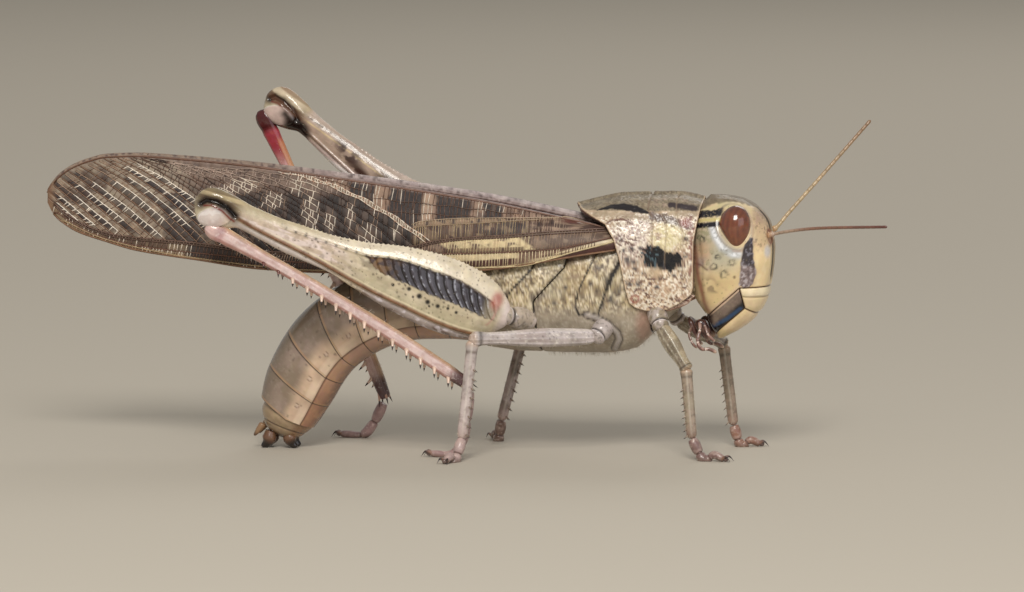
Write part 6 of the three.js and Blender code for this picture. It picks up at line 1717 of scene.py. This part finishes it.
    # dark ribbed band
    face = outer * herring
    paint.over(face, "2d262a", 0.2)
    paint.over(face * rib * (0.3 + 0.5 * smooth(n2, 0.4, 0.6)) * smooth(11.5 - mm, 0, 3), "57535b", 0.16)
    paint.over(face * valley * 0.85, "0f0c0e", 0.25)
    paint.over(face * glint * smooth(n3, 0.45, 0.62) * smooth(12 - mm, 0, 3) * 0.8, "b9bcc9", 0.1)
    paint.over(face * smooth(mm, 10.2, 12.8) * 0.7, "4b3124", 0.35)
    paint.over(face * smooth(mm, 10, 13) * smooth(n2, 0.5, 0.62) * 0.7, "8a6a45")
    paint.over(face * smooth(3.1 - mm, 0, 1.2) * 0.8, "b3a78f", 0.3)
    paint.over(face * smooth(3.1 - mm, 0, 1.2) * valley * 0.7, "6f6450")
    paint.over(outer * stroke(mm, up, [(2.0, 0.8), (3.6, 1.28), (5.4, 1.66), (7, 1.76)], 0.09) * 0.9, "3b2723")
    studs = np.exp(-((((mm - 0.3) / 0.93) % 1 - 0.5) / 0.14) ** 2) * np.exp(-(((up - top_edge - 0.02) / 0.11) ** 2))
    paint.over(outer * studs * band(mm, 4.5, 21, 0.5) * 0.95, "1f1916")
    for a, b, r in BIG_DOTS:
        paint.over(outer * blot(mm, up, a, b, r, r, 0.5), "17130f")
        height -= outer * 0.04 * blot(mm, up, a, b, r, r, 0.3)
    # brown line along the lower keel, glossy below it
    line = np.exp(-(((up - keel) / 0.19) ** 4)) * smooth(26 - mm, 0, 0.8) * smooth(mm, 1.6, 3)
    paint.over(np.exp(-(((up - keel - 0.27) / 0.09) ** 2)) * smooth(24 - mm, 0, 4) * 0.7, "e9dcbc")
    paint.over(line * 0.95, "7c5438", 0.28)
    paint.over(line * smooth(n2, 0.5, 0.7) * 0.5, "553523")
    below = smooth(keel - 0.2 - up, 0, 0.12) * smooth(15 - mm, 0, 3)
    paint.over(below * 0.85, "a39899", 0.16)
    paint.over(below * smooth(long, 0.5, 0.66) * 0.7, "6d5850", 0.2)
    paint.over(below * smooth(n2, 0.6, 0.7) * 0.6, "ddd5dc", 0.13)
    # root of the thigh
    paint.over(smooth(1.5 - mm, 0, 0.9) * 0.9, "d9cac6", 0.18)
    paint.over(outer * blot(mm, up, 1.75, 1.05, 0.5, 0.75, 0.6) * 0.85, "a3584c")
    paint.over(outer * np.exp(-(((mm - 1.55 - 0.25 * up * up) / 0.12) ** 2)) * (up > -1.3) * (up < 1.4) * 0.7, "b98f84")
    # knee
    cap = smooth(mm, 24.6, 26.2)
    paint.over(cap * smooth(up, 0.9, 1.3) * 0.95, "7a6a50", 0.24)
    # A thin pale line across the dark top of the knee: painted highlight.
    paint.over(cap * band(up - 0.06 * (28 - mm), 1.62, 1.85, 0.14) * 0.85, "c2b18c", 0.2)
    paint.over(cap * smooth(up, 2.05, 2.3) * 0.6, "857860", 0.28)
    paint.over(cap * smooth(-0.6 - up, 0, 0.2) * 0.6, "cfc7bb", 0.2)
    paint.over(disc_in, "dccfca", 0.16)
    paint.over(disc_in * smooth(n2, 0.45, 0.62) * 0.6, "f1ebe9", 0.12)
    paint.over(disc_in * smooth(mm, 27.2, 26.3) * 0.5, "c9b08f")
    paint.over(disc_in * smooth(n1, 0.5, 0.65) * 0.4, "cdb0ac")
    paint.over(np.exp(-(((disc - 1.12) / 0.1) ** 2)) * cap * 0.6, "f3ede4", 0.14)
    paint.over(stroke(mm, up, CRESCENT, 0.5) * 0.8, "4a2a1c", 0.14)
    paint.over(stroke(mm, up, CRESCENT, 0.38), "120d0e", 0.12)
    paint.over(stroke(mm, up, [(28.6, 0.62), (28.0, 0.88), (27.0, 0.72), (26.1, 0.3), (25.7, 0.15)], 0.1) * 0.95, "6e2a18",
               0.16)
    if name == "left":
        make_inner_marks(paint, mm, up, inner, n1, n2, crescent, disc_in, long)
    skin = Skin()
    closed(skin, limb.points, paint, height)
    hairs(skin, limb, 260, 0.3, 0.012, "e6dcc0", 521, 0.04, 0.93)
    piece(f"thigh_hind_{name}", skin, LEGS, "hind_thigh", f"hind_{name}_femur")
    return limb


def make_inner_marks(paint, mm, up, inner, n1, n2, crescent, disc_in, long):
    """The inner face of a jumping thigh: greyish with dark blotches, a red-brown edge and a dark knee."""
    shaft = inner * smooth(25.6 - mm, 0, 1)
    paint.over(shaft * 0.9, "a8907f", 0.3)
    paint.over(shaft * smooth(up, 1.0, 1.4) * 0.8, "ab9a8e", 0.25)
    paint.over(shaft * smooth(up, 1.6, 1.8) * 0.5, "c3b3a8", 0.22)
    paint.over(shaft * np.exp(-(((up - 1.38 + 0.02 * (24 - mm)) / 0.08) ** 2)) * 0.8, "54463c")
    paint.over(shaft * np.exp(-(((up - 1.0 + 0.02 * (24 - mm)) / 0.07) ** 2)) * 0.8, "d2bb8c")
    paint.over(shaft * smooth(long, 0.48, 0.62) * (up < 0.9) * 0.5, "957c6b")
    for a, b, r, tall in ((20.6, 1.0, 1.1, 0.45), (19.8, 0.45, 1.0, 0.5), (18.4, 0.0, 0.9, 0.4), (15.6, 0.7, 1.4, 0.5),
                          (12.0, 0.5, 1.5, 0.8)):
        paint.over(shaft * blot(mm, up, a, b, r, tall, 0.7) * smooth(n2, 0.3, 0.5) * 0.95, "38211a")
    paint.over(shaft * smooth(-up, 0.1, 0.5) * 0.75, "c9b3ad", 0.25)
    paint.over(shaft * smooth(-up, 0.6, 0.8) * 0.8, "e9e2de", 0.2)
    paint.over(inner * smooth(mm, 27, 28.4) * smooth(up, 1.9, 2.25) * 0.8, "6d2c22", 0.2)
    paint.over(inner * smooth(mm, 24.6, 26.3) * smooth(up, 1.2, 1.5) * 0.75, "a08a72", 0.2)
    paint.over(inner * smooth(mm, 25, 26.3) * band(up, 1.5, 1.95, 0.15) * 0.7, "cdbfa6", 0.2)
    paint.over(inner * disc_in, "cfb7ae", 0.22)
    paint.over(inner * np.clip(crescent * 1.2, 0, 1), "170f0e", 0.14)
    paint.over(inner * stroke(mm, up, [(26.9, 0.5), (25.9, 0.15), (25.2, -0.15)], 0.4) * 0.95, "20130f", 0.18)
    paint.over(inner * blot(mm, up, 25.3, -0.1, 1.3, 0.95, 0.35), "1c100d", 0.18)
    paint.over(inner * stroke(mm, up, [(25.3, -0.5), (26.6, -0.95), (27.8, -1.0)], 0.3) * 0.95, "2a1712", 0.18)
    paint.over(inner * smooth(mm, 24.3, 25.6) * smooth(0.45 - np.abs(up - 1.0), 0, 0.3) * 0.6, "6b4a38")


def make_shin(name, leg):
    base, shin, ankle = leg["base"], leg["shin"], leg["ankle"]
    axis, thigh = unit(ankle - shin), unit(base - shin)
    side = unit(np.cross(thigh, axis))
    away = unit(np.cross(axis, side))
    away = away if np.dot(away, thigh) < 0 else -away
    bow = lambda t: 0.4 * np.sin(np.pi * t)
    limb = Limb(shin, ankle, -away, profile((0, 0.4), (0.04, 0.56), (0.12, 0.46), (0.8, 0.42), (0.95, 0.56), (1, 0.42)),
                profile((0, 0.5), (0.035, 0.82), (0.12, 0.68), (0.25, 0.55), (0.9, 0.62), (1, 0.5)), bow=bow,
                fullness=2.2, around=84, along=330, ends=(0.4, 0.3))
    t, level, mm = limb.t, limb.level, limb.mm
    p = limb.points
    n1, n2, n3 = noise(p, 1.0, 531), noise(p, 0.35, 532), noise(p, 0.15, 533)
    streak = noise(np.stack([mm * 0.3, limb.across * 2, limb.up * 2], -1), 0.4, 534)
    near = smooth(level, 0.35, 0.75)
    far = smooth(-level, 0.4, 0.8)
    paint = Paint(t.shape, "c8aca8", 0.28)
    paint.over(smooth(streak, 0.42, 0.6) * 0.6, "dfcbc8", 0.22)
    paint.over(smooth(n2, 0.55, 0.7) * 0.3, "bb8f86")
    paint.over(near * 0.7, "b08a62", 0.3)
    paint.over(smooth(level, 0.8, 1.0) * 0.5, "d9b988", 0.3)
    paint.over(far * 0.75, "b3786a", 0.3)
    paint.over(np.exp(-(((level - 0.5) / 0.07) ** 2)) * 0.5, "9a6a48")
    head = smooth(0.05 - t, 0, 0.02)
    paint.over(head * 0.6, "d9b8b2", 0.24)
    paint.over(np.exp(-(((t - 0.055) / 0.012) ** 2)) * 0.4, "b07f88")
    paint.over(smooth(t, 0.9, 0.95) * 0.9, "45292f", 0.22)
    paint.over(smooth(n3, 0.68, 0.78) * 0.35, "f2e6e2", 0.2)
    if name == "left":
        paint.over(smooth(0.28 - t, 0, 0.14) * 0.7, "c8807c", 0.24)
        paint.over(smooth(0.2 - t, 0, 0.08) * 0.9, "9a2436", 0.22)
        paint.over(smooth(0.085 - t, 0, 0.03) * 0.95, "45191a", 0.2)
        paint.over(smooth(0.3 - t, 0, 0.1) * smooth(t, 0.09, 0.13) * smooth(level, 0.35, 0.6) * 0.6, "c48c58")
    height = 0.03 * (n2 - 0.5) + 0.03 * np.exp(-(((np.abs(level) - 0.55) / 0.12) ** 2)) - 0.05 * np.exp(
        -(((t - 0.065) / 0.012) ** 2))
    skin = Skin()
    closed(skin, p, paint, height)
    at = lambda s: shin + np.outer(s * limb.length, axis) - np.outer(bow(s), away)
    for hand in (-1, 1):
        s = np.linspace(SPINES["first"], SPINES["last"], SPINES["count"]) + 0.008 * hand
        long = SPINES["length"] * (0.55 + 0.45 * np.minimum(1, np.arange(SPINES["count"]) / 5))
        roots = at(s) + away * 0.38 + side * 0.25 * hand
        ways = np.tile(away * 0.85 + side * 0.5 * hand + axis * 0.45, (len(s), 1))
        spikes(skin, roots[:2], ways[:2], long[:2], 0.16, "6a4038", "1d1416", sides=9)
        spikes(skin, roots[2:], ways[2:], long[2:], 0.19, "dcc0ae", "2a1a1a", sides=9, tip_from=0.6)
        for inner in (0, 1):
            root = at(np.array([0.975])) + side * 0.2 * hand + away * (0.3 - 0.55 * inner)
            way = axis + side * 0.35 * hand + away * (0.35 - 0.3 * inner)
            spikes(skin, root, way, SPINES["length"] * 1.25, 0.16, "c7a08c", "2a1a1a", sides=9)
    hairs(skin, limb, 240, 0.42, 0.012, "e6d8cc", 541, 0.1, 0.96)
    piece(f"shin_hind_{name}", skin, LEGS, "hind_shin", f"hind_{name}_tibia")


def make_jumping_leg(name, leg):
    make_hip(f"hind_{name}", leg["hip"], leg["base"], 0.88, "b3a595", "walking_leg", f"hind_{name}_coxa")
    make_thigh(name, leg)
    make_shin(name, leg)
    make_foot(f"hind_{name}", [toward(leg["ankle"], leg["heel"], 0.5), leg["heel"], leg["sole"], leg["toe"]],
              "9a7d7c", "b49a94")


for leg_name, leg in WALKING.items():
    make_walking_leg(leg_name, leg)
for leg_name, leg in JUMPING.items():
    make_jumping_leg(leg_name, leg)


# ---------------------------------------------------------------- stage

TURN, TILT, DISTANCE = math.radians(9), math.radians(5), 0.7
look_at = (vec(0, 0, 13.7) + SHIFT) * 0.001
look = vec(-math.sin(TURN) * math.cos(TILT), math.cos(TURN) * math.cos(TILT), -math.sin(TILT))
camera = bpy.data.objects.new("camera", bpy.data.cameras.new("camera"))
camera.data.sensor_width = 36
camera.data.lens = 36 * 11.36 * DISTANCE * 1000 / 1024
camera.data.clip_start = 0.01
camera.location = look_at - look * DISTANCE
camera.rotation_euler = Vector(look).to_track_quat("-Z", "Y").to_euler()
bpy.context.scene.collection.objects.link(camera)
bpy.context.scene.camera = camera


def lamp(name, place, size, power, code):
    made = bpy.data.objects.new(name, bpy.data.lights.new(name, "AREA"))
    made.data.size = size
    made.data.energy = power
    made.data.color = rgb(code)
    made.location = place
    made.rotation_euler = (Vector(look_at) - Vector(place)).to_track_quat("-Z", "Y").to_euler()
    bpy.context.scene.collection.objects.link(made)


lamp("key", (0.06, -0.54, 0.42), 0.24, 3.3, "fffaf2")
lamp("fill", (0.5, -0.45, 0.12), 0.5, 0.8, "f2f4ff")
lamp("back", (0.1, 0.6, 0.5), 0.4, 0.9, "fffaf4")

world = bpy.data.worlds.new("studio")
world.use_nodes = True
world.node_tree.nodes["Background"].inputs["Color"].default_value = (*rgb("e9e6e0"), 1)
world.node_tree.nodes["Background"].inputs["Strength"].default_value = 0.42
bpy.context.scene.world = world
bpy.context.scene.view_settings.view_transform = "Standard"

floor_mesh = bpy.data.meshes.new("floor")
floor_mesh.from_pydata([(-4, -4, 0), (4, -4, 0), (4, 4, 0), (-4, 4, 0)], [], [(0, 1, 2, 3)])
floor = bpy.data.objects.new("floor", floor_mesh)
bpy.context.scene.collection.objects.link(floor)
paper = bpy.data.materials.new("paper")
paper.use_nodes = True
paper.node_tree.nodes["Principled BSDF"].inputs["Base Color"].default_value = (*rgb("c0b9ac"), 1)
paper.node_tree.nodes["Principled BSDF"].inputs["Roughness"].default_value = 0.9
floor_mesh.materials.append(paper)
